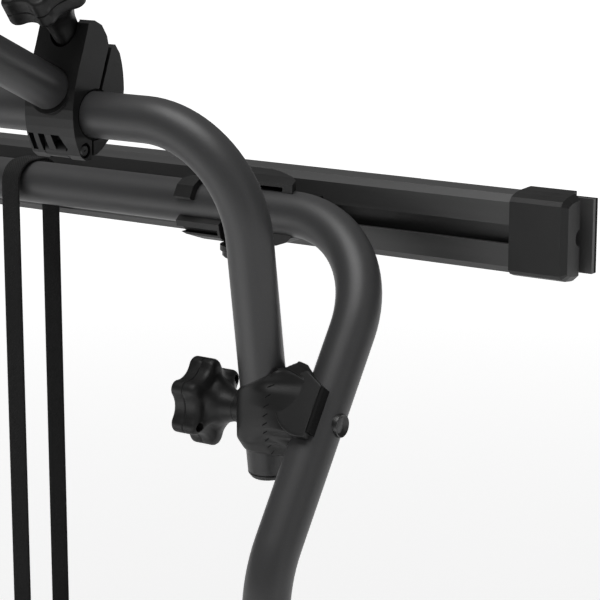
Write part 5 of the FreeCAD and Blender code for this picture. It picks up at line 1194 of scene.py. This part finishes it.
class CARRIER_OT_finishes(bpy.types.Operator):
    """Give every solid of the frame its finish"""
    bl_idname = "carrier.finishes"
    bl_label = "Finish Solids"

    def execute(self, context):
        for name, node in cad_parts.items():
            for slot in node.material_slots:
                label = slot.material.name.split(".")[0] if slot.material else ""
                if label not in MATERIALS:
                    raise RuntimeError("no finish for " + name + ": " + label)
                slot.material = material(label)
        return {"FINISHED"}


FLOOR_REACH = 14.0
FLOOR_DROP = 0.001
FLOOR_TONE = 0.86
FLOOR_FADE = (1.2, 5.0, 0.46, 0.98)
ROOM_LIGHT = 0.15
LAMPS = (("top_light", (0.3, -1.0, 3.2), (0.2, -0.2, 0.0), (2.6, 2.0), 82.0),
         ("low_light", (-0.3, -1.5, -0.84), (-0.3, -1.5, 0.0), (1.6, 1.0), 8.0),
         ("right_light", (3.2, -0.6, 0.8), (0.2, 0.0, 0.0), (1.6, 2.4), 6.0))
SENSOR = 36.0
CLIP_END = 60.0


def floor_material():
    """A matt pale surface that the camera and mirrors see lighter, the more the farther away."""
    made, tree, shader = new_material("pale_floor", Base_Color=grey(FLOOR_TONE), Roughness=0.9,
                                      Specular_IOR_Level=0.0)
    path = tree.nodes.new("ShaderNodeLightPath").outputs
    place = tree.nodes.new("ShaderNodeTexCoord").outputs["Object"]
    away = vector_node(tree, "LENGTH", place)["Value"]
    seen = math_node(tree, "MAXIMUM", path["Is Camera Ray"], path["Is Glossy Ray"])
    strength = math_node(tree, "MULTIPLY", seen, ramp(tree, away, *FLOOR_FADE))
    glow = add_node(tree, "Emission", {"Color": grey(1.0), "Strength": strength})
    both = add_node(tree, "AddShader", {0: shader.outputs[0], 1: glow.outputs[0]})
    feed(tree, tree.nodes["Material Output"].inputs["Surface"], both.outputs[0])
    return made


def lamp(name, place, toward, size, power):
    """A rectangular lamp at a place, turned toward another, that the camera doesn't see."""
    data = bpy.data.lights.new(name, "AREA")
    data.shape = "RECTANGLE"
    data.size, data.size_y = size
    data.energy = power
    light = bpy.data.objects.new(name, data)
    light.location = place
    light.rotation_euler = (Vector(toward) - Vector(place)).to_track_quat("-Z", "Y").to_euler()
    light.visible_camera = False
    bpy.context.scene.collection.objects.link(light)


class CARRIER_OT_stage(bpy.types.Operator):
    """Lay the pale floor, hang the lamps and stand the camera where the photo was taken"""
    bl_idname = "carrier.stage"
    bl_label = "Set Stage"

    def execute(self, context):
        scene = context.scene
        look = scene.carrier_view
        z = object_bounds()[0].z - FLOOR_DROP
        mesh = bpy.data.meshes.new("floor")
        mesh.from_pydata([(x * FLOOR_REACH, y * FLOOR_REACH, z) for x, y in
                          ((-1, -1), (1, -1), (1, 1), (-1, 1))], [], [(0, 1, 2, 3)])
        mesh.materials.append(floor_material())
        floor = bpy.data.objects.new("floor", mesh)
        scene.collection.objects.link(floor)
        floor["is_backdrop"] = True

        world = bpy.data.worlds.new("pale_room")
        scene.world = world
        world.use_nodes = True
        tree = world.node_tree
        room = tree.nodes["Background"].inputs
        seen = tree.nodes.new("ShaderNodeLightPath").outputs["Is Camera Ray"]
        feed(tree, room["Color"], grey(1.0))
        feed(tree, room["Strength"], ramp(tree, seen, 0.0, 1.0, ROOM_LIGHT, 1.0))
        for settings in LAMPS:
            lamp(*settings)

        data = bpy.data.cameras.new("photo_camera")
        data.sensor_width = SENSOR
        data.lens = look.lens
        data.clip_end = CLIP_END
        camera = bpy.data.objects.new("photo_camera", data)
        ahead = Vector((-math.sin(look.heading) * math.cos(look.dip),
                        math.cos(look.heading) * math.cos(look.dip), -math.sin(look.dip)))
        right = ahead.cross(Vector((0, 0, 1))).normalized()
        above = right.cross(ahead)
        camera.matrix_world = (Matrix.Translation(look.place)
                               @ Matrix((right, above, -ahead)).transposed().to_4x4())
        scene.collection.objects.link(camera)
        scene.camera = camera
        scene.view_settings.view_transform = "Standard"
        return {"FINISHED"}


OPERATORS = (CARRIER_OT_stage, CARRIER_OT_finishes, CARRIER_OT_tubes, CARRIER_OT_webbing,
             CARRIER_OT_knobs, CARRIER_OT_couplings, CARRIER_OT_bolts)
GROUP_TYPES = {"carrier_sizes": CarrierSizes, "carrier_finish": CarrierFinish,
               "carrier_view": CarrierView}


class CARRIER_PT_sidebar(bpy.types.Panel):
    """Lists the carrier's steps and sizes"""
    bl_idname = "CARRIER_PT_sidebar"
    bl_label = "Bike Carrier"
    bl_space_type = "VIEW_3D"
    bl_region_type = "UI"
    bl_category = "Bike Carrier"

    def draw(self, context):
        for operator in OPERATORS:
            self.layout.operator(operator.bl_idname)
        for group_name in GROUP_TYPES:
            holder = getattr(context.scene, group_name)
            for name in holder.__annotations__:
                self.layout.prop(holder, name)


CLASSES = tuple(GROUP_TYPES.values()) + OPERATORS + (CARRIER_PT_sidebar,)


def register():
    for made in CLASSES:
        bpy.utils.register_class(made)
    for name, kind in GROUP_TYPES.items():
        setattr(bpy.types.Scene, name, PointerProperty(type=kind))


def unregister():
    for name in GROUP_TYPES:
        delattr(bpy.types.Scene, name)
    for made in reversed(CLASSES):
        bpy.utils.unregister_class(made)


def main():
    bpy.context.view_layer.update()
    register()
    for operator in OPERATORS:
        category, name = operator.bl_idname.split(".")
        getattr(getattr(bpy.ops, category), name)()
    bpy.context.view_layer.update()


if __name__ == "__main__":
    main()
